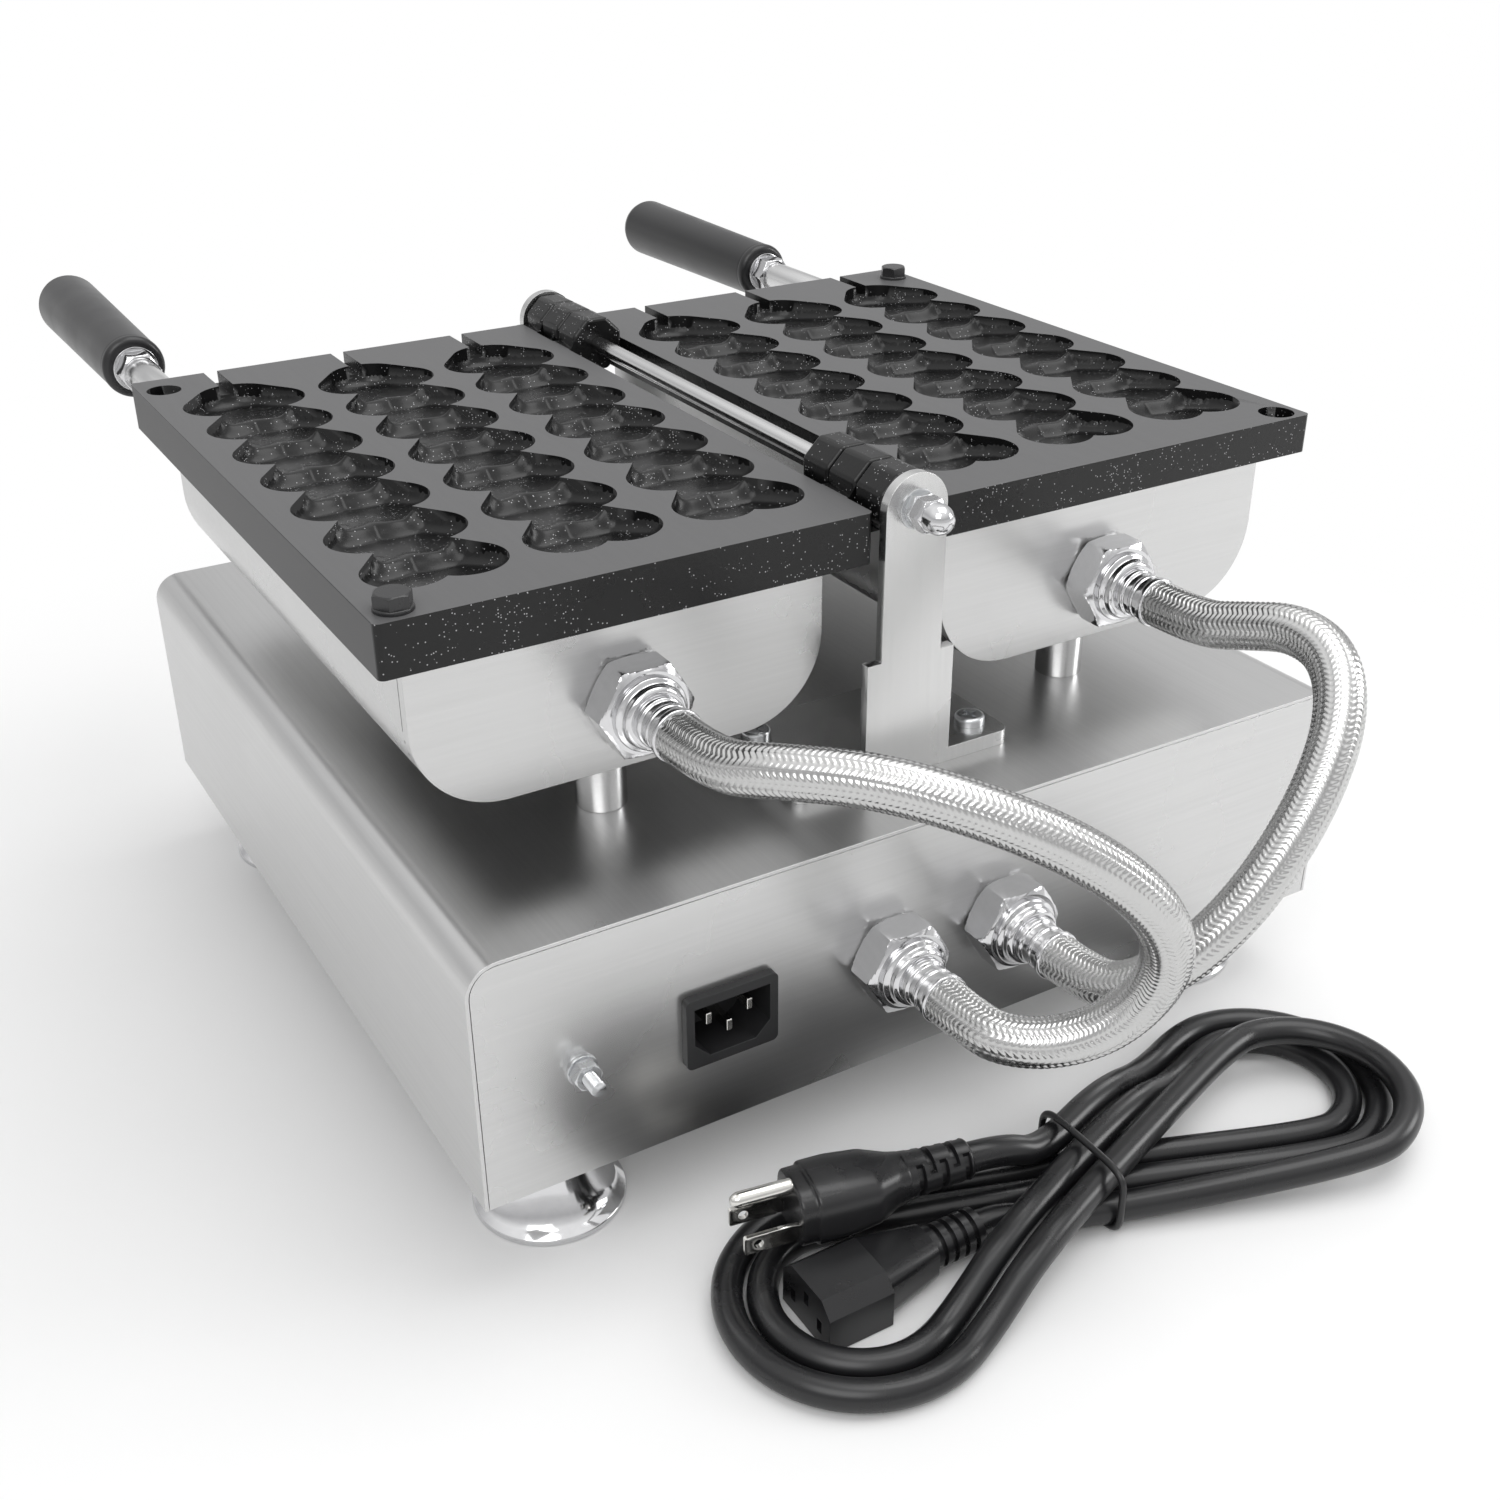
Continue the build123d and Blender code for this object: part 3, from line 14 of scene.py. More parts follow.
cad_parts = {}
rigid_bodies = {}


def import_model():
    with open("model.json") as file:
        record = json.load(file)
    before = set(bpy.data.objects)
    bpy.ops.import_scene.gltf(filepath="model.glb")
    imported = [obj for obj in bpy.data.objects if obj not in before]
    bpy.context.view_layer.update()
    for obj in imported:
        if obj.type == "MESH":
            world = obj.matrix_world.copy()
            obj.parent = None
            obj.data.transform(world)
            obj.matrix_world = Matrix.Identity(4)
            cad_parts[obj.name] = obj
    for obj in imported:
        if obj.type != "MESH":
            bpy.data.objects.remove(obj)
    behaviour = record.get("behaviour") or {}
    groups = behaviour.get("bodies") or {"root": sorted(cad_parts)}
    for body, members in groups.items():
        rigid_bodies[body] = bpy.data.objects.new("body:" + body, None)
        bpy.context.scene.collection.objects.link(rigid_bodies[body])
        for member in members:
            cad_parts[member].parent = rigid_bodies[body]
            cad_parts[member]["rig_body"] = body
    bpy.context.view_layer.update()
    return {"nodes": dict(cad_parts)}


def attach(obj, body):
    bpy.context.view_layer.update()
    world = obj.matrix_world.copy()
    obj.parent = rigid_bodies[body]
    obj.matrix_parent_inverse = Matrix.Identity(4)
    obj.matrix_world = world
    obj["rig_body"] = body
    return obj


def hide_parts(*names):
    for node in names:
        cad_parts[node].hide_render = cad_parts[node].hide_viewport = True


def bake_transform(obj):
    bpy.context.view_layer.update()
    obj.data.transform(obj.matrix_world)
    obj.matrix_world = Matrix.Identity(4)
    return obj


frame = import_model()
MM = 0.001
SIDES = {"right": 1.0, "left": -1.0}
UP = np.array([0.0, 0.0, 1.0])
REARWARD = np.array([0.0, 1.0, 0.0])
FORWARD = -REARWARD


# Places on the machine, as in the CAD

FACE_Z = 205.3
HINGE_Z = 205.5
PLATE_SIDE_X = 165.3
PLATE_REAR_Y, PLATE_FRONT_Y = 125.5, -121.5
KNUCKLE_REACH = 11.9
CASE_INNER_X, CASE_OUTER_X, CASE_BOTTOM, CASE_CORNER = 22.2, 155.5, 138.0, 28.0
CASE_TOP = {"right": 189.2, "left": 192.2}
CASE_REAR_Y = 113.8
CASE_GLAND_X, CASE_GLAND_Z = 88.0, 160.0
CABINET_TOP = 117.0
PANEL_REAR_Y, PANEL_FRONT_Y = 157.5, -157.5
CABINET_GLAND_XS, CABINET_GLAND_Z = (24.0, -19.0), 73.5
GLAND_LENGTH = 17.0
FERRULE_INSERT = 8.5


# Shader groups

def new_group(name, inputs, outputs):
    """Empty node group with float or vector sockets; inputs maps a name to its type and default."""
    tree = bpy.data.node_groups.new(name, "ShaderNodeTree")
    for socket_name, (kind, default) in inputs.items():
        socket = tree.interface.new_socket(name=socket_name, in_out="INPUT", socket_type=kind)
        socket.default_value = default
    for socket_name, kind in outputs.items():
        tree.interface.new_socket(name=socket_name, in_out="OUTPUT", socket_type=kind)
    return tree, tree.nodes.new("NodeGroupInput"), tree.nodes.new("NodeGroupOutput")


def add(tree, kind, sockets=(), **settings):
    """New node with its settings and, from a dict, its socket values or incoming links."""
    node = tree.nodes.new(kind)
    for key, value in settings.items():
        setattr(node, key, value)
    for key, value in dict(sockets).items():
        if isinstance(value, bpy.types.NodeSocket):
            tree.links.new(value, node.inputs[key])
        else:
            node.inputs[key].default_value = value
    return node


def build_grain_group():
    """Directional grain: noise on coordinates multiplied by a stretch, long where the stretch is small."""
    tree, given, result = new_group(
        "brushed grain",
        {"Vector": ("NodeSocketVector", (0, 0, 0)), "Stretch": ("NodeSocketVector", (20, 900, 900))},
        {"Height": "NodeSocketFloat", "Tone": "NodeSocketFloat"},
    )
    scaled = add(tree, "ShaderNodeVectorMath", {0: given.outputs["Vector"], 1: given.outputs["Stretch"]},
                 operation="MULTIPLY")
    noise = add(tree, "ShaderNodeTexNoise", {"Vector": scaled.outputs[0], "Scale": 1.0, "Detail": 4.0,
                                             "Roughness": 0.6})
    tone = add(tree, "ShaderNodeMapRange", {"Value": noise.outputs["Fac"], "From Min": 0.25, "From Max": 0.75,
                                            "To Min": 0.96, "To Max": 1.03})
    tree.links.new(noise.outputs["Fac"], result.inputs["Height"])
    tree.links.new(tone.outputs["Result"], result.inputs["Tone"])
    return tree


def build_clouding_group():
    """Soft clouding: large noise mapped between a low and a high value, for handled and wiped surfaces."""
    tree, given, result = new_group(
        "wiped clouding",
        {"Vector": ("NodeSocketVector", (0, 0, 0)), "Scale": ("NodeSocketFloat", 25.0),
         "Low": ("NodeSocketFloat", 0.1), "High": ("NodeSocketFloat", 0.2)},
        {"Value": "NodeSocketFloat"},
    )
    noise = add(tree, "ShaderNodeTexNoise", {
        "Vector": given.outputs["Vector"], "Scale": given.outputs["Scale"], "Detail": 5.0, "Roughness": 0.55})
    mapped = add(tree, "ShaderNodeMapRange", {
        "Value": noise.outputs["Fac"], "From Min": 0.3, "From Max": 0.7,
        "To Min": given.outputs["Low"], "To Max": given.outputs["High"]})
    tree.links.new(mapped.outputs["Result"], result.inputs["Value"])
    return tree


def build_flake_and_glint_group():
    """Bright flakes in a coat, partly its real speckles and partly painted glints: small round spots in a
    share of a pattern's cells, denser in patches.
    """
    tree, given, result = new_group(
        "coat flakes and painted glints",
        {"Vector": ("NodeSocketVector", (0, 0, 0)), "Scale": ("NodeSocketFloat", 700.0),
         "Share": ("NodeSocketFloat", 0.1)},
        {"Mask": "NodeSocketFloat"},
    )
    cells = add(tree, "ShaderNodeTexVoronoi", {
        "Vector": given.outputs["Vector"], "Scale": given.outputs["Scale"]})
    picked = add(tree, "ShaderNodeSeparateColor", {"Color": cells.outputs["Color"]})
    drift = add(tree, "ShaderNodeTexNoise", {"Vector": given.outputs["Vector"], "Scale": 90.0, "Detail": 2.0})
    dense = add(tree, "ShaderNodeMapRange", {
        "Value": drift.outputs["Fac"], "From Min": 0.42, "From Max": 0.68, "To Min": 0.25, "To Max": 2.6})
    level = add(tree, "ShaderNodeMath", {0: dense.outputs["Result"], 1: given.outputs["Share"]},
                operation="MULTIPLY")
    few = add(tree, "ShaderNodeMath", {0: picked.outputs[0], 1: level.outputs[0]}, operation="LESS_THAN")
    near = add(tree, "ShaderNodeMapRange", {
        "Value": cells.outputs["Distance"], "From Min": 0.36, "From Max": 0.2, "To Min": 0.0, "To Max": 1.0})
    spot = add(tree, "ShaderNodeMath", {0: few.outputs[0], 1: near.outputs["Result"]}, operation="MULTIPLY")
    tree.links.new(spot.outputs[0], result.inputs["Mask"])
    return tree


GRAIN = build_grain_group()
CLOUDING = build_clouding_group()
FLAKES_AND_GLINTS = build_flake_and_glint_group()


# Materials

def new_finish(name, colour, metallic=0.0, roughness=0.4, **plain):
    """Material with one Principled shader whose plain sockets are set, ready for its patterns."""
    finish = bpy.data.materials.new(name)
    finish.use_nodes = True
    tree = finish.node_tree
    shader = tree.nodes["Principled BSDF"]
    shader.inputs["Base Color"].default_value = (*colour, 1.0)
    shader.inputs["Metallic"].default_value = metallic
    shader.inputs["Roughness"].default_value = roughness
    for key, value in plain.items():
        shader.inputs[key.replace("_", " ")].default_value = value
    place = tree.nodes.new("ShaderNodeTexCoord").outputs["Object"]
    return finish, tree, shader, place


def use(tree, group, **sockets):
    """Places a shader group in a material with its own values or links."""
    node = tree.nodes.new("ShaderNodeGroup")
    node.node_tree = group
    for key, value in sockets.items():
        if isinstance(value, bpy.types.NodeSocket):
            tree.links.new(value, node.inputs[key])
        else:
            node.inputs[key].default_value = value
    return node


def tint(tree, colour, tone):
    """A colour multiplied by a grey tone."""
    mix = add(tree, "ShaderNodeMix", {"Factor": 1.0}, data_type="RGBA", blend_type="MULTIPLY")
    mix.inputs[6].default_value = (*colour, 1.0)
    tree.links.new(tone, mix.inputs[7])
    return mix.outputs[2]


def bump(tree, shader, height, strength, distance_mm):
    """Bump from a height, feeding the shader's normal."""
    node = add(tree, "ShaderNodeBump", {"Strength": strength, "Distance": distance_mm * MM, "Height": height})
    tree.links.new(node.outputs[0], shader.inputs["Normal"])


def brushed_sheet(name, stretch, colour=(0.7, 0.7, 0.697), roughness=(0.19, 0.26), strength=0.05):
    """Brushed stainless sheet: long fine grain in tone and bump, with wiped clouding in its gloss."""
    finish, tree, shader, place = new_finish(name, colour, 1.0, 0.3)
    grain = use(tree, GRAIN, Vector=place, Stretch=stretch)
    clouds = use(tree, CLOUDING, Vector=place, Scale=11.0, Low=roughness[0], High=roughness[1])
    tree.links.new(tint(tree, colour, grain.outputs["Tone"]), shader.inputs["Base Color"])
    tree.links.new(clouds.outputs["Value"], shader.inputs["Roughness"])
    bump(tree, shader, grain.outputs["Height"], strength, 0.02)
    return finish


def polished_metal(name, colour, roughness, grain_stretch=(300, 300, 300), strength=0.03):
    """Plated or ground metal: clear reflections, slightly clouded, with a trace of grinding marks."""
    finish, tree, shader, place = new_finish(name, colour, 1.0, roughness[0])
    clouds = use(tree, CLOUDING, Vector=place, Scale=60.0, Low=roughness[0], High=roughness[1])
    grain = use(tree, GRAIN, Vector=place, Stretch=grain_stretch)
    tree.links.new(clouds.outputs["Value"], shader.inputs["Roughness"])
    tree.links.new(tint(tree, colour, grain.outputs["Tone"]), shader.inputs["Base Color"])
    bump(tree, shader, grain.outputs["Height"], strength, 0.01)
    return finish


def moulded(name, colour, roughness, grit=2600.0, strength=0.12, coat=0.0):
    """Moulded plastic or rubber: fine spark texture in the bump, clouding in the gloss."""
    finish, tree, shader, place = new_finish(name, colour, 0.0, roughness[0], Coat_Weight=coat)
    clouds = use(tree, CLOUDING, Vector=place, Scale=45.0, Low=roughness[0], High=roughness[1])
    grit_noise = add(tree, "ShaderNodeTexNoise", {"Vector": place, "Scale": grit, "Detail": 2.0})
    tone = add(tree, "ShaderNodeMapRange", {"Value": clouds.outputs["Value"], "From Min": roughness[0],
                                            "From Max": roughness[1], "To Min": 0.85, "To Max": 1.15})
    tree.links.new(tint(tree, colour, tone.outputs["Result"]), shader.inputs["Base Color"])
    tree.links.new(clouds.outputs["Value"], shader.inputs["Roughness"])
    bump(tree, shader, grit_noise.outputs["Fac"], strength, 0.02)
    return finish


def plate_coat(name, with_face):
    """Cast plate: dark flaked coat, its flakes partly painted glints. On the plate itself the ground face is
    grey, and the outer long side is painted grey as a sheen for the pale backdrop's reflection:
    the face is what lies at its level beyond the knuckles, and the side is what lies at the outermost x."""
    # side_sheen_grey is painted sheen: the outer long side is made lighter for the pale backdrop's reflection
    dark, face, side_sheen_grey = (0.005, 0.005, 0.0052), (0.108, 0.108, 0.11), (0.034, 0.034, 0.035)
    finish, tree, shader, place = new_finish(name, dark, 0.0, 0.3, Specular_IOR_Level=0.36)
    # flakes: light spots in the base colour, the coat's real speckles together with painted glints
    flakes_and_glints = use(tree, FLAKES_AND_GLINTS, Vector=place, Scale=1500.0, Share=0.1)
    pits = add(tree, "ShaderNodeTexNoise", {"Vector": place, "Scale": 640.0, "Detail": 3.0, "Roughness": 0.6})
    clouds = use(tree, CLOUDING, Vector=place, Scale=38.0, Low=0.22, High=0.33)
    cast = add(tree, "ShaderNodeMix", {"Factor": flakes_and_glints.outputs["Mask"]}, data_type="RGBA")
    cast.inputs[6].default_value = (*dark, 1.0)
    cast.inputs[7].default_value = (0.42, 0.42, 0.43, 1.0)
    rough_bump = add(tree, "ShaderNodeBump", {"Strength": 0.5, "Distance": 0.09 * MM,
                                              "Height": pits.outputs["Fac"]})
    if not with_face:
        tree.links.new(cast.outputs[2], shader.inputs["Base Color"])
        tree.links.new(clouds.outputs["Value"], shader.inputs["Roughness"])
        tree.links.new(rough_bump.outputs[0], shader.inputs["Normal"])
        return finish
    axes = add(tree, "ShaderNodeSeparateXYZ", {"Vector": place})
    away = add(tree, "ShaderNodeMath", {0: axes.outputs["X"]}, operation="ABSOLUTE")
    level = add(tree, "ShaderNodeMath", {0: axes.outputs["Z"], 1: (FACE_Z - 0.04) * MM},
                operation="GREATER_THAN")
    clear = add(tree, "ShaderNodeMath", {0: away.outputs[0], 1: KNUCKLE_REACH * MM}, operation="GREATER_THAN")
    high = add(tree, "ShaderNodeMath", {0: level.outputs[0], 1: clear.outputs[0]}, operation="MULTIPLY")
    # outer long side: painted sheen, a grey that stands in for the pale backdrop's reflection
    outer = add(tree, "ShaderNodeMath", {0: away.outputs[0], 1: (PLATE_SIDE_X - 0.15) * MM},
                operation="GREATER_THAN")
    grain = use(tree, GRAIN, Vector=place, Stretch=(700, 40, 700))
    ground = tint(tree, face, grain.outputs["Tone"])
    side = tint(tree, side_sheen_grey, grain.outputs["Tone"])
    with_side_sheen = add(tree, "ShaderNodeMix", {"Factor": outer.outputs[0]}, data_type="RGBA")
    tree.links.new(cast.outputs[2], with_side_sheen.inputs[6])
    tree.links.new(side, with_side_sheen.inputs[7])
    whole = add(tree, "ShaderNodeMix", {"Factor": high.outputs[0]}, data_type="RGBA")
    tree.links.new(with_side_sheen.outputs[2], whole.inputs[6])
    tree.links.new(ground, whole.inputs[7])
    plain = add(tree, "ShaderNodeMath", {0: high.outputs[0], 1: outer.outputs[0]}, operation="MAXIMUM")
    gloss = add(tree, "ShaderNodeMix", {"Factor": plain.outputs[0], "A": 0.3, "B": 0.42})
    tree.links.new(clouds.outputs["Value"], gloss.inputs["A"])
    fade = add(tree, "ShaderNodeMath", {0: 0.5, 1: plain.outputs[0]}, operation="SUBTRACT", use_clamp=True)
    height = add(tree, "ShaderNodeMath", {0: pits.outputs["Fac"], 1: fade.outputs[0]}, operation="MULTIPLY")
    soft_bump = add(tree, "ShaderNodeBump", {"Strength": 0.6, "Distance": 0.12 * MM,
                                             "Height": height.outputs[0]})
    tree.links.new(whole.outputs[2], shader.inputs["Base Color"])
    tree.links.new(gloss.outputs[0], shader.inputs["Roughness"])
    tree.links.new(soft_bump.outputs[0], shader.inputs["Normal"])
    return finish


def braid_wire():
    """Woven stainless wire, with a fine grain in tone and bump for the wires of each strand."""
    colour = (0.56, 0.56, 0.556)
    finish, tree, shader, place = new_finish("woven steel wire", colour, 1.0, 0.2)
    clouds = use(tree, CLOUDING, Vector=place, Scale=90.0, Low=0.16, High=0.3)
    wires = use(tree, GRAIN, Vector=place, Stretch=(900, 900, 900))
    tree.links.new(clouds.outputs["Value"], shader.inputs["Roughness"])
    tree.links.new(tint(tree, colour, wires.outputs["Tone"]), shader.inputs["Base Color"])
    bump(tree, shader, wires.outputs["Height"], 0.2, 0.04)
    return finish


def mineral_wool():
    """Pressed mineral wool: fibres from a noise that is stretched differently along each axis."""
    colour = (0.62, 0.57, 0.42)
    finish, tree, shader, place = new_finish("mineral wool", colour, 0.0, 0.95)
    fibres = use(tree, GRAIN, Vector=place, Stretch=(120, 900, 400))
    tree.links.new(tint(tree, colour, fibres.outputs["Tone"]), shader.inputs["Base Color"])
    bump(tree, shader, fibres.outputs["Height"], 0.8, 0.6)
    return finish


FINISH = {
    "wrap": brushed_sheet("brushed wrap", (900, 14, 900), (0.63, 0.63, 0.628), (0.27, 0.35)),
    "panel": brushed_sheet("brushed end panel", (14, 900, 900), (0.62, 0.62, 0.618), (0.24, 0.32)),
    "case": brushed_sheet("satin heater case", (16, 500, 800), (0.6, 0.6, 0.598), (0.24, 0.31), 0.03),
    "bracket": brushed_sheet("satin bracket", (700, 700, 18), (0.64, 0.64, 0.637), (0.22, 0.29), 0.03),
    "chrome": polished_metal("plated chrome", (0.66, 0.66, 0.67), (0.08, 0.14)),
    "bright": polished_metal("bright turned steel", (0.7, 0.7, 0.7), (0.14, 0.24), (900, 60, 900), 0.08),
    "zinc": polished_metal("zinc plated steel", (0.62, 0.63, 0.64), (0.2, 0.32)),
    "nickel": polished_metal("nickel plated contact", (0.72, 0.71, 0.68), (0.12, 0.22)),
    "blackened": moulded("blackened steel", (0.02, 0.02, 0.021), (0.22, 0.34), 900.0, 0.2),
    "plate": plate_coat("ground coated plate with painted sheen and glints", True),
    "hollow": plate_coat("flaked dark coat with painted glints", False),
    "braid": braid_wire(),
    "wool": mineral_wool(),
    "grip": moulded("black grip", (0.012, 0.012, 0.013), (0.27, 0.36), 1400.0, 0.08),
    "black": moulded("black moulding", (0.014, 0.014, 0.015), (0.34, 0.46)),
    "jacket": moulded("black cord jacket", (0.011, 0.011, 0.012), (0.24, 0.33), 700.0, 0.06),
    "rocker": moulded("red rocker", (0.45, 0.02, 0.015), (0.2, 0.3), 900.0, 0.03),
    "lens": moulded("amber lamp lens", (0.75, 0.27, 0.03), (0.08, 0.14), 300.0, 0.02, 0.4),
    "cream": moulded("cream terminal block", (0.66, 0.6, 0.46), (0.4, 0.5)),
    "mark": moulded("white dial marks", (0.75, 0.75, 0.74), (0.4, 0.5)),
}


# Surfaces

def ring_faces(rings, around, closed_around=True, closed_rings=False):
    """Quads of a grid whose point (i, j) has the number i * around + j, closed along either way or open."""
    i = np.arange(rings if closed_rings else rings - 1)[:, None]
    j = np.arange(around if closed_around else around - 1)[None, :]
    ahead, beside = (i + 1) % rings, (j + 1) % around
    corners = [i * around + j, i * around + beside, ahead * around + beside, ahead * around + j]
    return np.stack(np.broadcast_arrays(*corners), axis=-1).reshape(-1, 4)


def side_ways(axis):
    """Two unit directions square to an axis and to each other."""
    axis = np.asarray(axis, float)
    helper = np.array([1.0, 0.0, 0.0]) if abs(axis[0]) < 0.8 else UP
    first = np.cross(axis, helper)
    first /= np.linalg.norm(first)
    return first, np.cross(axis, first)


def eased(corners, reach=0.4, steps=4):
    """Profile with rounded inner corners: near each one the line follows the quadratic arc that leaves the
    arriving side `reach` before the corner and joins the leaving side `reach` after it."""
    corners = np.asarray(corners, float)
    before, corner, after = corners[:-2], corners[1:-1], corners[2:]
    into, out = before - corner, after - corner
    into_length = np.linalg.norm(into, axis=1, keepdims=True)
    out_length = np.linalg.norm(out, axis=1, keepdims=True)
    start = corner + into * np.minimum(reach / into_length, 0.45)
    end = corner + out * np.minimum(reach / out_length, 0.45)
    t = np.linspace(0, 1, steps + 1)[None, :, None]
    arcs = (1 - t) ** 2 * start[:, None] + 2 * t * (1 - t) * corner[:, None] + t ** 2 * end[:, None]
    return np.concatenate([corners[:1], arcs.reshape(-1, corners.shape[1]), corners[-1:]])


def swept(heights, radius, origin, axis):
    """Surface about an axis: radius[i, j] is the distance from it at heights[i] and at the angle j."""
    origin, axis = np.asarray(origin, float), np.asarray(axis, float)
    first, second = side_ways(axis)
    angle = np.linspace(0, 2 * pi, radius.shape[1], endpoint=False)[:, None]
    way = np.cos(angle) * first + np.sin(angle) * second
    points = origin + heights[:, None, None] * axis + radius[..., None] * way
    return points.reshape(-1, 3), ring_faces(*radius.shape)


def turned(profile, origin, axis, around=64):
    """Turned surface: each (radius, height) pair of the profile is a ring about the axis at that height."""
    profile = np.asarray(profile, float)
    return swept(profile[:, 1], np.broadcast_to(profile[:, :1], (len(profile), around)), origin, axis)


def hexagon(flats, length, origin, axis, chamfers=(True, True), bore=0.0, around=96):
    """Hexagonal bar with chamfered ends. At an angle t from the middle of a flat its radius is the apothem
    over cos t, cut by a 30 degree cone that starts at 0.95 apothem on each end face."""
    apothem = flats / 2
    depth = 0.14 * apothem
    ends = np.linspace(0, 1, 6) ** 1.3 * depth
    heights = np.concatenate([ends, np.linspace(depth, length - depth, 3)[1:-1], length - ends[::-1]])
    angle = np.linspace(0, 2 * pi, around, endpoint=False) + pi / 6
    flat_angle = (angle + pi / 6) % (pi / 3) - pi / 6
    radius = np.broadcast_to(apothem / np.cos(flat_angle), (len(heights), around)).copy()
    for cut, distance in zip(chamfers, (heights, length - heights)):
        if cut:
            radius = np.minimum(radius, 0.95 * apothem + distance[:, None] * np.sqrt(3))
    first, second = side_ways(axis)
    way = np.cos(angle)[None, :, None] * first + np.sin(angle)[None, :, None] * second
    inner = np.full((1, around), max(bore, 1e-4))
    radius = np.concatenate([inner, radius, inner])
    heights = np.concatenate([heights[:1], heights, heights[-1:]])
    points = np.asarray(origin, float) + heights[:, None, None] * np.asarray(axis, float)
    points = points + radius[..., None] * way
    return points.reshape(-1, 3), ring_faces(len(heights), around, closed_rings=bore > 0)


def lofted(stations, origin, axis, side, up, around=72):
    """Body along an axis. A station (along, half width, half height, power) is a superellipse: across it goes
    the half width times the signed 2/power power of the cosine, and upwards the same of the sine."""
    stations = np.asarray(stations, float)
    along, wide, high, power = (stations[:, k][:, None] for k in range(4))
    angle = np.linspace(0, 2 * pi, around, endpoint=False)[None, :]
    across = wide * np.sign(np.cos(angle)) * np.abs(np.cos(angle)) ** (2 / power)
    above = high * np.sign(np.sin(angle)) * np.abs(np.sin(angle)) ** (2 / power)
    points = np.asarray(origin, float) + along[..., None] * axis
    points = points + across[..., None] * side + above[..., None] * up
    return points.reshape(-1, 3), ring_faces(len(stations), around)


def flat_bar(corners, low, high):
    """Four-cornered bar: its corners moved by the offset `low` and by the offset `high`."""
    faces = np.array([[3, 2, 1, 0], [4, 5, 6, 7], [0, 1, 5, 4], [1, 2, 6, 5], [2, 3, 7, 6], [3, 0, 4, 7]])
    corners = np.asarray(corners, float)
    return np.concatenate([corners + low, corners + high]), faces


def piece(name, body, finish, surfaces, replaced=(), sharp=35.0):
    """One mesh piece from (points, faces) surfaces: seams and poles merged, normals outwards, on a body."""
    points, loops, starts = [], [], []
    point_count = loop_count = 0
    for surface_points, faces in surfaces:
        points.append(surface_points)
        loops.append((faces + point_count).ravel())
        starts.append(loop_count + np.arange(len(faces)) * faces.shape[1])
        point_count += len(surface_points)
        loop_count += faces.size
    mesh = bpy.data.meshes.new(name)
    mesh.vertices.add(point_count)
    mesh.vertices.foreach_set("co", (np.concatenate(points) * MM).ravel())
    mesh.loops.add(loop_count)
    mesh.loops.foreach_set("vertex_index", np.concatenate(loops))
    mesh.polygons.add(sum(len(start) for start in starts))
    mesh.polygons.foreach_set("loop_start", np.concatenate(starts))
    mesh.update(calc_edges=True)
    mesh.validate()
    return finish_mesh(name, mesh, body, finish, replaced, sharp)


def finish_mesh(name, mesh, body, finish, replaced=(), sharp=35.0, merge=0.002, recalculate=True):
    """Merges a mesh's doubles, turns it outwards, shades it smooth between sharp edges and lets it ride."""
    work = bmesh.new()
    work.from_mesh(mesh)
    bmesh.ops.remove_doubles(work, verts=work.verts, dist=merge * MM)
    bmesh.ops.dissolve_degenerate(work, edges=work.edges, dist=merge * MM)
    if recalculate:
        bmesh.ops.recalc_face_normals(work, faces=work.faces)
    work.to_mesh(mesh)
    work.free()
    mesh.polygons.foreach_set("use_smooth", np.ones(len(mesh.polygons), bool))
    mesh.set_sharp_from_angle(angle=radians(sharp))
    mesh.materials.clear()
    mesh.materials.append(FINISH[finish])
    made = bpy.data.objects.new(name, mesh)
    bpy.context.scene.collection.objects.link(made)
    if body:
        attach(made, body)
    if replaced:
        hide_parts(*replaced)
    return made


def edged_copy(node, finish, width=0.3, segments=2, angle=35.0, weigh=None):
    """Copy of a CAD node, merged and freed of its flat triangles, with its edges rounded by a bevel. `weigh`
    maps the places of all edges' ends, an (edges, 2, 3) array, to each edge's share of the width."""
    source = frame["nodes"][node]
    work = bmesh.new()
    work.from_mesh(source.data)
    bmesh.ops.remove_doubles(work, verts=work.verts, dist=0.0005 * MM)
    bmesh.ops.dissolve_limit(work, angle_limit=radians(0.5), verts=work.verts, edges=work.edges)
    mesh = bpy.data.meshes.new(node + "_edged")
    work.to_mesh(mesh)
    work.free()
    made = finish_mesh(node + "_edged", mesh, source["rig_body"], finish, (node,), angle,
                       merge=0.0005, recalculate=False)
    bevel = made.modifiers.new("edge", "BEVEL")
    bevel.width, bevel.segments = width * MM, segments
    bevel.use_clamp_overlap, bevel.harden_normals = weigh is None, True
    if weigh is None:
        bevel.limit_method, bevel.angle_limit = "ANGLE", radians(angle)
        return made
    places = np.empty(len(mesh.vertices) * 3)
    mesh.vertices.foreach_get("co", places)
    ends = np.empty(len(mesh.edges) * 2, int)
    mesh.edges.foreach_get("vertices", ends)
    shares = weigh(places.reshape(-1, 3)[ends.reshape(-1, 2)] / MM)
    attribute = mesh.attributes.new("bevel_weight_edge", "FLOAT", "EDGE")
    attribute.data.foreach_set("value", shares.astype(np.float32))
    bevel.limit_method = "WEIGHT"
    level = made.modifiers.new("level faces", "WEIGHTED_NORMAL")
    level.keep_sharp, level.weight = True, 80
    return made


def keep(node, finish):
    """Gives a CAD node its material."""
    mesh = frame["nodes"][node].data
    mesh.materials.clear()
    mesh.materials.append(FINISH[finish])


# Camera and light

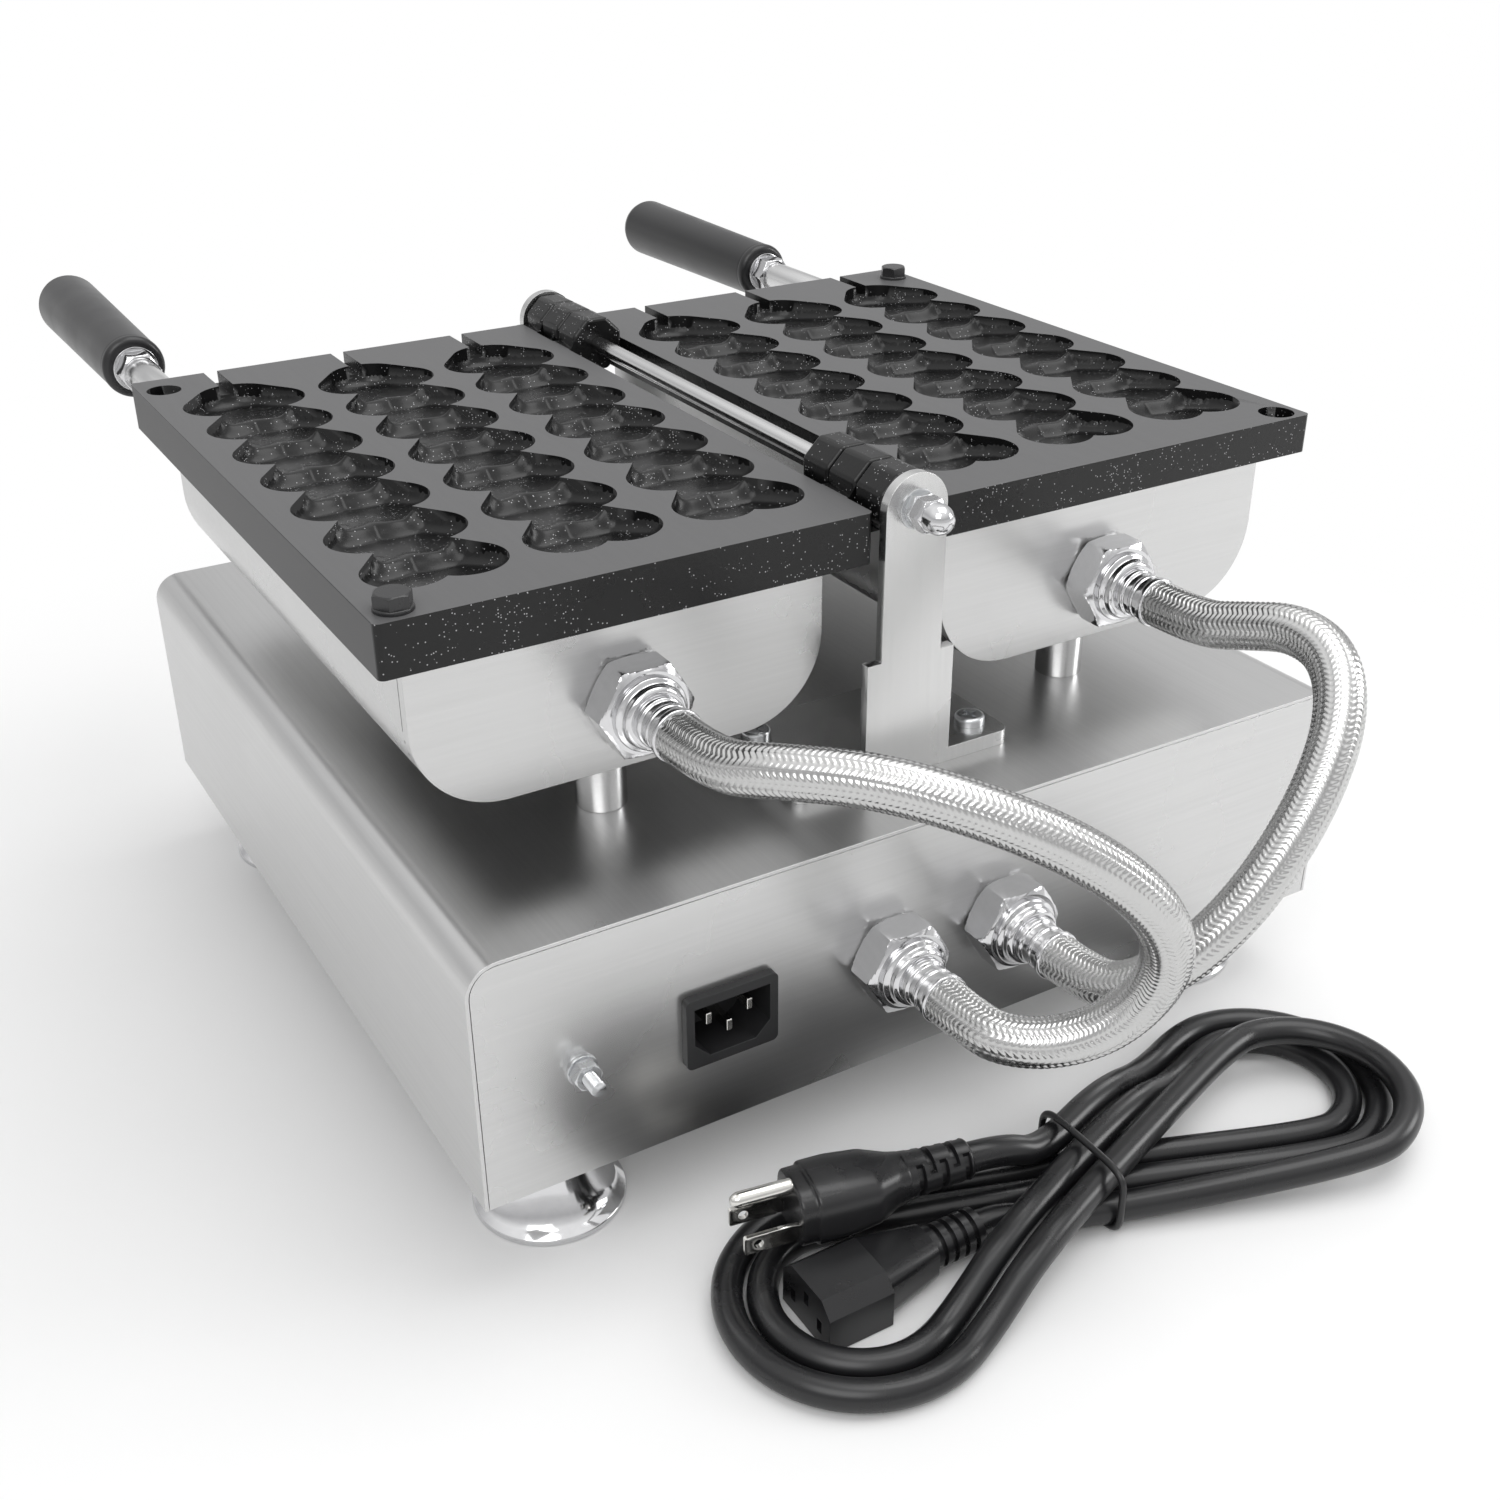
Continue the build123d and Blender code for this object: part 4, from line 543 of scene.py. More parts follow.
def place_camera():
    """Camera at the photograph's place: position, heading, fall and roll found from the object's edges."""
    position = Vector((0.2921, 0.5242, 0.3883))
    heading, fall, roll, focal_px = -2.1075, radians(28.276), -0.0059, 1766.9
    level = Vector((cos(heading), sin(heading), 0))
    ahead = Vector((level.x * cos(fall), level.y * cos(fall), -sin(fall)))
    right = ahead.cross(Vector((0, 0, 1))).normalized()
    above = right.cross(ahead)
    turned_right = right * cos(roll) + above * sin(roll)
    turned_above = -right * sin(roll) + above * cos(roll)
    camera_data = bpy.data.cameras.new("camera")
    camera_data.sensor_width = 36.0
    camera_data.lens = 36.0 * focal_px / 1500.0
    camera_data.clip_start, camera_data.clip_end = 0.01, 20.0
    camera = bpy.data.objects.new("camera", camera_data)
    bpy.context.scene.collection.objects.link(camera)
    turn = Matrix((turned_right, turned_above, -ahead)).transposed().to_4x4()
    camera.matrix_world = Matrix.Translation(position) @ turn
    bpy.context.scene.camera = camera


def place_lamp(name, place, aim, size, power):
    """Square area lamp that faces a point."""
    lamp_data = bpy.data.lights.new(name, "AREA")
    lamp_data.size, lamp_data.energy = size, power
    lamp = bpy.data.objects.new(name, lamp_data)
    bpy.context.scene.collection.objects.link(lamp)
    way = (Vector(aim) - Vector(place)).to_track_quat("-Z", "Y")
    lamp.matrix_world = Matrix.Translation(Vector(place)) @ way.to_matrix().to_4x4()


def build_world():
    """Pale studio: white where it is seen itself, and in reflections a soft gradient that is darkest a little
    above the horizon and brightest overhead."""
    world = bpy.data.worlds.new("studio")
    world.use_nodes = True
    bpy.context.scene.world = world
    tree = world.node_tree
    tree.nodes.clear()
    way = add(tree, "ShaderNodeTexCoord")
    axes = add(tree, "ShaderNodeSeparateXYZ", {"Vector": way.outputs["Generated"]})
    ramp = add(tree, "ShaderNodeValToRGB", {"Fac": axes.outputs["Z"]})
    ramp.color_ramp.elements[0].position = 0.0
    ramp.color_ramp.elements[0].color = (0.8, 0.8, 0.8, 1)
    ramp.color_ramp.elements[1].position = 0.75
    ramp.color_ramp.elements[1].color = (1.1, 1.1, 1.1, 1)
    middle = ramp.color_ramp.elements.new(0.3)
    middle.color = (0.55, 0.55, 0.555, 1)
    rays = add(tree, "ShaderNodeLightPath")
    gloss = add(tree, "ShaderNodeBackground", {"Color": ramp.outputs["Color"], "Strength": 1.0})
    soft = add(tree, "ShaderNodeBackground", {"Color": (0.9, 0.9, 0.9, 1), "Strength": 0.75})
    seen = add(tree, "ShaderNodeBackground", {"Color": (1, 1, 1, 1), "Strength": 1.0})
    glossy = add(tree, "ShaderNodeMixShader", {0: rays.outputs["Is Glossy Ray"], 1: soft.outputs[0],
                                               2: gloss.outputs[0]})
    camera_seen = add(tree, "ShaderNodeMixShader", {0: rays.outputs["Is Camera Ray"], 1: glossy.outputs[0],
                                                    2: seen.outputs[0]})
    add(tree, "ShaderNodeOutputWorld", {"Surface": camera_seen.outputs[0]})


def build_floor():
    """Pale floor well past the frame's edges. To the camera it fades to white away from the object."""
    reach = 6000.0
    points = np.array([[-reach, -reach, 0], [reach, -reach, 0], [reach, reach, 0], [-reach, reach, 0]])
    finish, tree, shader, place = new_finish("pale floor", (0.88, 0.88, 0.88), 0.0, 0.6)
    clouds = use(tree, CLOUDING, Vector=place, Scale=3.0, Low=0.55, High=0.65)
    tree.links.new(clouds.outputs["Value"], shader.inputs["Roughness"])
    away = add(tree, "ShaderNodeVectorMath", {0: place}, operation="LENGTH")
    far = add(tree, "ShaderNodeMapRange", {"Value": away.outputs["Value"], "From Min": 0.26, "From Max": 0.5,
                                           "To Min": 0.0, "To Max": 1.0}, interpolation_type="SMOOTHSTEP")
    rays = add(tree, "ShaderNodeLightPath")
    blank = add(tree, "ShaderNodeMath", {0: far.outputs["Result"], 1: rays.outputs["Is Camera Ray"]},
                operation="MULTIPLY")
    white = add(tree, "ShaderNodeEmission", {"Color": (1, 1, 1, 1), "Strength": 1.0})
    mix = add(tree, "ShaderNodeMixShader", {0: blank.outputs[0], 1: shader.outputs[0], 2: white.outputs[0]})
    tree.links.new(mix.outputs[0], tree.nodes["Material Output"].inputs["Surface"])
    mesh = bpy.data.meshes.new("floor")
    mesh.from_pydata((points * MM).tolist(), [], [(0, 1, 2, 3)])
    mesh.materials.append(finish)
    floor = bpy.data.objects.new("floor", mesh)
    bpy.context.scene.collection.objects.link(floor)


place_camera()
build_world()
build_floor()
place_lamp("key", (1.1, 1.2, 1.7), (0, 0.05, 0.1), 1.3, 13)
place_lamp("overhead", (-0.5, 0.2, 1.9), (0, 0, 0.1), 1.4, 14)
place_lamp("right edge", (-1.7, 0.9, 0.8), (0, 0.05, 0.15), 0.7, 9)
bpy.context.scene.view_settings.view_transform = "Standard"


# Cord set: its route is the hank's, point for point, in the CAD's own measures

CORD_RADIUS = 4.75
CORD_PITCH = 10.4
CORD_LEVEL = 10.8
WAIST = (-8.0, 214.0)
WAIST_ANGLE = radians(20.0)
LOOP_SIDES = 8
RIGHT_LOOP, LEFT_LOOP = 25.7, 27.5
FLOOR_LEVEL = CORD_RADIUS
UNDER_LEVEL = CORD_RADIUS + 1.7
OVER_LEVEL = UNDER_LEVEL + CORD_LEVEL
HUMP_TOP, HUMP_FOOT = 36.0, 66.0
PLUG_LEAD = 13.0
PLUG_END, PLUG_HEADING = (24.0, 201.0, 23.5), radians(-9.7)
CONNECTOR_END = (30.0, 214.0, 8.9)


def waist_line(way, offset, along, height):
    """Point on one of the hank's two crossing lines."""
    sideways = -1.0 if way == "over" else 1.0
    x = WAIST[0] + sideways * along * cos(WAIST_ANGLE) + offset * sin(WAIST_ANGLE)
    y = WAIST[1] - along * sin(WAIST_ANGLE) + sideways * offset * cos(WAIST_ANGLE)
    return x, y, height


def loop_points(right, radius, offset_in, offset_out, heights):
    """Corners round one end loop: a circle that touches the arriving and the leaving line."""
    sign = -1 if right else 1
    centre_x = WAIST[0] + (offset_in + offset_out + sign * 2 * radius) / (2 * sin(WAIST_ANGLE))
    centre_y = WAIST[1] - sign * (offset_out - offset_in) / (2 * cos(WAIST_ANGLE))
    step = (pi + 2 * WAIST_ANGLE) / LOOP_SIDES
    corner_radius = radius / cos(step / 2)
    start = -pi / 2 + (WAIST_ANGLE if right else -WAIST_ANGLE)
    count = np.arange(LOOP_SIDES)
    angle = start + sign * (count + 0.5) * step
    late = np.clip((count / (LOOP_SIDES - 1) - 0.8) / 0.2, 0, 1)
    height = heights[0] + (heights[1] - heights[0]) * late
    x, y = centre_x + corner_radius * np.cos(angle), centre_y + corner_radius * np.sin(angle)
    return [tuple(p) for p in np.stack([x, y, height], axis=1)]


def over_run(offset, before, after):
    """Hump over the waist from the left loop to the right loop."""
    points = []
    if before:
        points.append(waist_line("over", offset, -HUMP_FOOT, FLOOR_LEVEL))
        points.append(waist_line("over", offset, -HUMP_TOP, OVER_LEVEL))
    points.append(waist_line("over", offset, HUMP_TOP, OVER_LEVEL))
    if after:
        points.append(waist_line("over", offset, HUMP_FOOT, FLOOR_LEVEL))
    return points


def hank_route():
    """Corners of the whole cord, from the plug's strain relief to the connector's."""
    outer, middle, inner = CORD_PITCH, 0.0, -CORD_PITCH
    on_floor = (FLOOR_LEVEL, FLOOR_LEVEL)
    top = FLOOR_LEVEL + CORD_LEVEL
    lead_x, lead_y = PLUG_LEAD * cos(PLUG_HEADING), PLUG_LEAD * sin(PLUG_HEADING)
    points = [PLUG_END, (PLUG_END[0] - lead_x, PLUG_END[1] - lead_y, PLUG_END[2])]
    points.append(waist_line("over", outer, -3, OVER_LEVEL))
    points += over_run(outer, False, True)
    points += loop_points(True, RIGHT_LOOP + CORD_PITCH, outer, middle, on_floor)
    points += [waist_line("under", middle, along, UNDER_LEVEL) for along in (-24.0, 24.0)]
    points += loop_points(False, LEFT_LOOP, middle, middle, on_floor)
    points += over_run(middle, True, True)
    points += loop_points(True, RIGHT_LOOP, middle, inner, on_floor)
    points += [waist_line("under", inner, along, UNDER_LEVEL) for along in (-24.0, 24.0)]
    points += loop_points(False, LEFT_LOOP + CORD_PITCH, inner, inner, on_floor)
    points += over_run(inner, True, False)
    points += loop_points(True, RIGHT_LOOP + CORD_PITCH / 2, inner, outer, (top, top - 0.3 * CORD_LEVEL))
    points += [waist_line("under", outer, along, UNDER_LEVEL) for along in (-24.0, 16.0)]
    points.append((CONNECTOR_END[0] - 8.0, CONNECTOR_END[1], CONNECTOR_END[2]))
    points.append(CONNECTOR_END)
    return points


def nurbs_curve(name, route, bevel=0.0, resolution=10):
    """Curve object of one open NURBS spline of order 3 whose control points are the route's corners."""
    data = bpy.data.curves.new(name, "CURVE")
    data.dimensions = "3D"
    spline = data.splines.new("NURBS")
    spline.points.add(len(route) - 1)
    for point, place in zip(spline.points, route):
        point.co = (place[0] * MM, place[1] * MM, place[2] * MM, 1.0)
    spline.order_u = 3
    spline.use_endpoint_u = True
    spline.resolution_u = resolution
    data.bevel_depth = bevel * MM
    data.bevel_resolution = 6
    data.use_fill_caps = True
    made = bpy.data.objects.new(name, data)
    bpy.context.scene.collection.objects.link(made)
    return made


def centreline(route, spacing):
    """Points along a route's NURBS spline, read from the curve and spaced evenly, in millimetres."""
    curve = nurbs_curve("route", route, resolution=24)
    bpy.context.view_layer.update()
    mesh = bpy.data.meshes.new_from_object(curve)
    line = np.empty(len(mesh.vertices) * 3)
    mesh.vertices.foreach_get("co", line)
    line = line.reshape(-1, 3) / MM
    bpy.data.meshes.remove(mesh)
    data = curve.data
    bpy.data.objects.remove(curve)
    bpy.data.curves.remove(data)
    run = np.concatenate([[0], np.cumsum(np.linalg.norm(np.diff(line, axis=0), axis=1))])
    even = np.linspace(0, run[-1], int(run[-1] / spacing) + 1)
    return np.stack([np.interp(even, run, line[:, k]) for k in range(3)], axis=1), even


def carried_frames(line):
    """Directions square to a line, carried along it without twist, one pair for each point."""
    ahead = np.gradient(line, axis=0)
    ahead /= np.linalg.norm(ahead, axis=1, keepdims=True)
    first = np.empty_like(line)
    first[0] = side_ways(ahead[0])[0]
    for i in range(1, len(line)):
        way = first[i - 1] - ahead[i] * (first[i - 1] @ ahead[i])
        first[i] = way / np.linalg.norm(way)
    return first, np.cross(ahead, first)


def tube(line, radius, around=16, closed=False):
    """Tube round a line: at each point a ring of the given radius, which may change along and around it."""
    first, second = carried_frames(line)
    angle = np.linspace(0, 2 * pi, around, endpoint=False)
    way = np.cos(angle)[None, :, None] * first[:, None] + np.sin(angle)[None, :, None] * second[:, None]
    radius = np.broadcast_to(radius, (len(line), around))
    points = line[:, None] + radius[..., None] * way
    return points.reshape(-1, 3), ring_faces(len(line), around, closed_rings=closed)


def local_frame(heading):
    """Along, sideways and upward directions of a piece that lies on the floor at a heading."""
    along = np.array([cos(heading), sin(heading), 0.0])
    return along, np.cross(UP, along), UP


def slotted_relief(origin, heading, length, radius, neck_radius, rings=5):
    """Strain relief: a tapering sleeve whose radius drops in short slots, two to a ring, each ring's slots
    turned a quarter from the last, with smooth steps at the slots' sides and ends."""
    along_way, side, up = local_frame(heading)
    stations, around = 110, 96
    along = np.linspace(0, length, stations)[:, None]
    angle = np.linspace(0, 2 * pi, around, endpoint=False)[None, :]
    pitch = length / (rings + 0.6)
    number = np.floor(along / pitch)
    inside = np.clip((0.30 - np.abs(along / pitch - number - 0.55)) / 0.05, 0, 1) * (number < rings)
    spread = np.cos(2 * angle + pi * number)
    slot = inside * np.clip((spread + 0.45) / 0.12, 0, 1)
    sleeve = radius + (neck_radius - radius) * (along / length) ** 2
    shape = sleeve - 1.5 * slot - 0.5 * np.clip(1 - along / 0.8, 0, 1) ** 2 + 0 * angle
    points = np.asarray(origin, float) + along[..., None] * along_way
    way = np.cos(angle)[..., None] * side + np.sin(angle)[..., None] * up
    points = points + shape[..., None] * way
    pole = np.asarray(origin, float) + 1e-4 * way[0]
    return np.concatenate([pole, points.reshape(-1, 3)]), ring_faces(stations + 1, around)


def holed_blade(origin, along, side, up, length, high, thick, hole_radius):
    """Contact blade with a round hole near its tip: at each angle about the hole the outline lies just inside
    the nearer of the rectangle's edges, which rounds its corners, and both faces reach in to the hole."""
    around = 64
    angle = np.linspace(0, 2 * pi, around, endpoint=False)
    centre = length - 4.3
    run, rise = np.cos(angle), np.sin(angle)
    reach_along = np.where(run > 0, (length - centre) / np.maximum(run, 1e-6),
                           centre / np.maximum(-run, 1e-6))
    reach_up = high / 2 / np.maximum(np.abs(rise), 1e-6)
    reach = 1 / (reach_along ** -14.0 + reach_up ** -14.0) ** (1 / 14.0)
    loops = []
    for radius, level in ((reach, -0.5), (reach - 0.3, -0.62), (hole_radius, -0.62), (hole_radius, 0.62),
                          (reach - 0.3, 0.62), (reach, 0.5)):
        level = level / 0.62 * thick / 2
        place = np.asarray(origin) + (centre + radius * run)[:, None] * along
        loops.append(place + (radius * rise)[:, None] * up + level * side)
    return np.concatenate(loops), ring_faces(6, around, closed_rings=True)


def make_plug():
    """Mains plug: its moulding with the strain relief, and two holed blades with the round earth prong."""
    along, side, up = local_frame(PLUG_HEADING)
    origin = np.array(PLUG_END)
    relief = slotted_relief(origin, PLUG_HEADING, 22.0, 6.4, 7.6)
    stations = eased([
        (21.0, 0.01, 0.01, 2.0), (21.0, 7.4, 7.2, 2.2), (25.0, 8.0, 7.8, 2.3), (33.0, 11.4, 9.2, 2.8),
        (44.0, 12.0, 10.4, 3.0), (52.5, 11.8, 10.6, 3.0), (53.0, 10.9, 9.7, 3.0), (58.0, 10.9, 9.7, 3.0),
        (58.0, 0.01, 0.01, 2.0),
    ], 1.2, 5)
    body = lofted(stations, origin, along, side, up)
    plug = piece("power_plug_body", "base", "jacket", [relief, body], ("power_plug",))
    face = origin + 57.5 * along
    contacts = [
        holed_blade(face + across * side - 3.5 * up, along, side, up, 17.5, 6.4, 1.5, 1.6)
        for across in (-6.35, 6.35)
    ]
    prong = eased([(0.01, 0.0), (2.4, 0.0), (2.4, 17.4), (1.2, 19.4), (0.01, 19.5)], 1.0)
    contacts.append(turned(prong, face + 8.4 * up, along, 32))
    return plug, piece("power_plug_contacts", "base", "nickel", contacts)


def make_tie():
    """Tie at the waist: a round ring drawn along a superellipse that stands upright across the cord."""
    around, wire_radius, power = 96, 1.15, 5.0
    turn = np.linspace(0, 2 * pi, around, endpoint=False)
    loop_y = 19.1 * np.sign(np.cos(turn)) * np.abs(np.cos(turn)) ** (2 / power)
    loop_z = 11.6 * np.sign(np.sin(turn)) * np.abs(np.sin(turn)) ** (2 / power)
    line = np.stack([np.full(around, -11.0), WAIST[1] + loop_y, 12.85 + loop_z], axis=1)
    crossways = np.array([1.0, 0.0, 0.0])
    ahead = np.roll(line, -1, axis=0) - np.roll(line, 1, axis=0)
    outward = np.cross(ahead, crossways)
    outward /= np.linalg.norm(outward, axis=1, keepdims=True)
    angle = np.linspace(0, 2 * pi, 12, endpoint=False)[None, :, None]
    ring = line[:, None] + wire_radius * (np.cos(angle) * outward[:, None] + np.sin(angle) * crossways)
    faces = ring_faces(around, 12, closed_rings=True)
    return piece("cord_tie_ring", "base", "jacket", [(ring.reshape(-1, 3), faces)],
                 ("cord_tie",))


def make_cord_set():
    """The coiled cord with its plug, its appliance connector and the tie at the waist."""
    cord = nurbs_curve("cord_jacket", hank_route(), CORD_RADIUS)
    cord.data.materials.append(FINISH["jacket"])
    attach(cord, "base")
    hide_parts("cord_hank")
    plug, contacts = make_plug()
    connector = edged_copy("cord_connector", "jacket", 0.6, 3, 30.0)
    tie = make_tie()


# Hoses: each route runs from its heater case to the cabinet

HOSE_ROUTES = {
    "right": [
        (88, 149.8, 160), (88, 163, 160), (80, 181, 165), (62, 202, 167), (42, 220, 161), (23, 233, 151),
        (6, 240, 137), (-6, 242, 121), (-11, 239, 104), (-8, 233, 89), (0, 227, 79), (11, 220, 74.5),
        (20, 212, 73.5), (24, 203, 73.5), (24, 193.5, 73.5),
    ],
    "left": [
        (-88, 149.8, 160), (-88, 162, 160), (-92, 176, 164), (-96, 193, 169), (-95, 210, 166),
        (-86, 223, 153), (-70, 230, 133), (-51, 231, 110), (-35, 226, 92), (-24, 216, 79), (-19, 204, 73.5),
        (-19, 193.5, 73.5),
    ],
}


def make_hose(side):
    """Steel braided hose: round the tube run 16 lanes of slanted strands, the slant turned from lane to lane;
    the radius rises over each strand as a cosine and falls to a groove at the lane's edges."""
    corners = [np.array(corner, float) for corner in HOSE_ROUTES[side]]
    corners[0] = corners[0] - FERRULE_INSERT * REARWARD
    corners[-1] = corners[-1] - FERRULE_INSERT * REARWARD
    line, run = centreline(corners, 0.34)
    lanes, strand = 16, 1.75
    around = lanes * 6
    angle = np.linspace(0, 2 * pi, around, endpoint=False)
    lane = angle * lanes / (2 * pi)
    slant = np.where(np.floor(lane) % 2 == 0, 1.0, -1.0)
    across = lane - np.floor(lane) - 0.5
    phase = run[:, None] / strand + (slant * across * 1.1)[None, :]
    rise = np.abs(np.cos(pi * phase)) ** 0.8 * (1 - (2 * np.abs(across[None, :])) ** 4 * 0.75)
    surface = tube(line, 7.15 + 0.4 * rise, around)
    hose = piece(f"braided_hose_{side}", None, "braid", [surface], (f"hose_{side}",), 60.0)
    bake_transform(hose)


# Hose fittings

def gland_surfaces(x, wall_y, z):
    """Chamfered hexagonal gland, its stepped collar and the threaded neck behind the wall."""
    origin = (x, wall_y, z)
    collar = eased([(0.01, 11.5), (11.6, 11.5), (11.6, 13.4), (10.0, 14.2), (9.9, 16.2), (8.9, 17.1),
                    (0.01, 17.1)], 0.5)
    neck = eased([(0.01, 0.3), (8.0, 0.3), (8.0, -7.6), (7.4, -8.0), (0.01, -8.0)], 0.3)
    return [hexagon(27.0, 12.0, origin, REARWARD), turned(collar, origin, REARWARD, 64),
            turned(neck, origin, REARWARD, 48)]


def ferrule_surfaces(x, wall_y, z):
    """Plain neck of the hose's end fitting with two turned rings, and the crimped edge round the braid."""
    profile = [(0.01, 0.0), (7.9, 0.0), (7.9, 2.4), (7.1, 3.0), (7.1, 5.2), (7.5, 5.5), (7.5, 6.6),
               (7.1, 6.9), (7.1, 9.4), (8.15, 9.8), (8.15, 11.6), (7.7, 12.0), (0.01, 12.0)]
    return [turned(eased(profile, 0.35), (x, wall_y + GLAND_LENGTH, z), REARWARD, 72)]


def make_hose_fittings():
    """Glands and ferrules on the cases and on the cabinet."""
    for side, sign in SIDES.items():
        place, body = (sign * CASE_GLAND_X, CASE_REAR_Y, CASE_GLAND_Z), f"half_{side}"
        piece(f"gland_{side}", body, "chrome", gland_surfaces(*place), (f"hose_nut_{side}",), 25.0)
        piece(f"ferrule_{side}", body, "chrome", ferrule_surfaces(*place),
              (f"hose_ferrule_{side}",), 50.0)
    glands, ferrules = [], []
    for x in CABINET_GLAND_XS:
        glands += gland_surfaces(x, PANEL_REAR_Y, CABINET_GLAND_Z)
        ferrules += ferrule_surfaces(x, PANEL_REAR_Y, CABINET_GLAND_Z)
    piece("cabinet_glands", "base", "chrome", glands, ("base_hose_nuts",), 25.0)
    piece("cabinet_ferrules", "base", "chrome", ferrules, ("base_hose_ferrules",), 50.0)


# Baking plates

COLUMNS = (40.5, 88.5, 136.5)
HEART_Y = np.linspace(-80.0, 94.5, 7)
LOBE_X, LOBE_Y, LOBE_R = 8.5, 1.0, 12.5
TIP_Y, TIP_R = -8.0, 14.0
SHALLOW_DEPTH, DEEP_DEPTH = 4.0, 8.0
FLOOR_SLOPE = (DEEP_DEPTH - SHALLOW_DEPTH) / (HEART_Y[1] - HEART_Y[0])
MIDDLE_DEPTH = SHALLOW_DEPTH + FLOOR_SLOPE * (LOBE_Y + LOBE_R)


def heart_distance(x, y):
    """Signed distance to a heart's outline, negative inside: the tapered capsule from the tip circle to the
    lobe circle, read at |x| so that both lobes count."""
    x = np.abs(x)
    run = np.array([LOBE_X, LOBE_Y - TIP_Y])
    length = np.linalg.norm(run)
    run = run / length
    along = x * run[0] + (y - TIP_Y) * run[1]
    across = np.abs(x * run[1] - (y - TIP_Y) * run[0])
    slope = (TIP_R - LOBE_R) / length
    level = np.sqrt(1 - slope ** 2)
    where = along * level - across * slope
    to_tip = np.hypot(across, along) - TIP_R
    to_lobe = np.hypot(across, along - length) - LOBE_R
    between = across * level + along * slope - TIP_R
    return np.where(where < 0, to_tip, np.where(where > level * length, to_lobe, between))


def wall_distance(x, y):
    """Distance from each grid point to the wall of the joined hearts: the walls are the points of every
    heart's circles that lie on its own outline and outside the other hearts."""
    angle = np.linspace(0, 2 * pi, 220, endpoint=False)
    share = np.linspace(0, 1, 12)
    slope = (LOBE_R - TIP_R) / np.hypot(LOBE_X, LOBE_Y - TIP_Y)
    tilt = np.arctan2(LOBE_Y - TIP_Y, LOBE_X) - np.arccos(-slope)
    way = np.array([cos(tilt), sin(tilt)])
    start, end = np.array([0.0, TIP_Y]) + TIP_R * way, np.array([LOBE_X, LOBE_Y]) + LOBE_R * way
    web = start + share[:, None] * (end - start)
    loops = [np.stack([x0 + r * np.cos(angle), y0 + r * np.sin(angle)], axis=1)
             for x0, y0, r in ((LOBE_X, LOBE_Y, LOBE_R), (-LOBE_X, LOBE_Y, LOBE_R), (0.0, TIP_Y, TIP_R))]
    heart = np.concatenate(loops + [web, web * [-1, 1]])
    heart = heart[np.abs(heart_distance(heart[:, 0], heart[:, 1])) < 0.02]
    walls = []
    for middle in HEART_Y:
        points = heart + [0, middle]
        others = [heart_distance(points[:, 0], points[:, 1] - other) for other in HEART_Y if other != middle]
        walls.append(points[np.min(others, axis=0) > -0.02])
    walls = np.concatenate(walls)
    grid = np.stack(np.broadcast_arrays(x, y), axis=-1)
    return np.stack([np.hypot(row[:, None, 0] - walls[:, 0], row[:, None, 1] - walls[:, 1]).min(axis=1)
                     for row in grid])


def column_lining(x_centre):
    """Smooth floor of one column of hollows. Each heart's floor falls towards its point; near the column's
    walls it rises in a quarter circle, and at a heart's lobes it rolls over a soft lip to the next."""
    pitch, margin, wall_curve, grid_margin = 0.6, 0.75, 4.6, 1.2
    half_width = LOBE_X + LOBE_R + 0.9
    x = np.arange(-half_width, half_width + 0.01, pitch)[None, :]
    y = np.arange(HEART_Y[0] + TIP_Y - TIP_R - grid_margin, HEART_Y[-1] + LOBE_Y + LOBE_R + grid_margin,
                  pitch)[:, None]
    distance = np.stack([heart_distance(x, y - middle) for middle in HEART_Y])
    depth = np.stack([MIDDLE_DEPTH - FLOOR_SLOPE * (y - middle) + 0 * x for middle in HEART_Y])
    depth = np.minimum(depth, DEEP_DEPTH + 0.3)
    floor = depth[-1]
    for i in range(len(HEART_Y) - 2, -1, -1):
        inside = -distance[i]
        rear = np.clip((y - HEART_Y[i] - 2) / 6, 0, 1)
        lip = 0.2 * np.exp(-((inside - 1.6) / 1.8) ** 2) * rear
        ring = np.hypot(x - 10.5, y - HEART_Y[i] - 6.5) - 3.1
        swell = 0.2 * np.exp(-((ring / 0.9) ** 2))
        share = np.clip((inside + 4.6) / 5.2, 0, 1)
        share = share * share * (3 - 2 * share)
        floor = (depth[i] - lip - swell) * share + floor * (1 - share)
    outline = distance.min(axis=0)
    near = np.where(outline < 0, np.clip(wall_curve - wall_distance(x, y), 0, wall_curve), wall_curve)
    floor = floor - 0.12 - (wall_curve - np.sqrt(wall_curve ** 2 - near ** 2))
    floor = np.maximum(floor, 1.1)
    kept = outline < margin
    points = np.stack(np.broadcast_arrays(x_centre + x, y + 0 * x, FACE_Z - floor), axis=-1)
    rows, across_count = kept.shape
    faces = ring_faces(rows, across_count, closed_around=False)[:, ::-1]
    faces = faces[kept.ravel()[faces].all(axis=1)]
    used, numbers = np.unique(faces, return_inverse=True)
    return points.reshape(-1, 3)[used], numbers.reshape(faces.shape)


def plate_edge_shares(ends):
    """Share of the bevel at each plate edge: full on the octagonal knuckles' corners and end rims, a quarter
    on the plate's straight outline, none at the hollows, slots and holes."""
    x, y, z = ends[..., 0], ends[..., 1], ends[..., 2]
    from_rod = np.hypot(x, z - HINGE_Z)
    knuckle = ((from_rod > 9.8) & (from_rod < 11.2) & (np.abs(x) < 10.2)).all(axis=1)
    gaps = (np.abs(x) - PLATE_SIDE_X, y - PLATE_FRONT_Y, y - PLATE_REAR_Y)
    limits = [np.abs(gap) < 0.05 for gap in gaps]
    outline = np.any([limit.all(axis=1) for limit in limits], axis=0)
    level = np.abs(z[:, 0] - z[:, 1]) < 0.05
    long_enough = np.linalg.norm(ends[:, 0] - ends[:, 1], axis=1) > 8.0
    return 1.0 * knuckle + 0.25 * (outline & level & long_enough & ~knuckle)


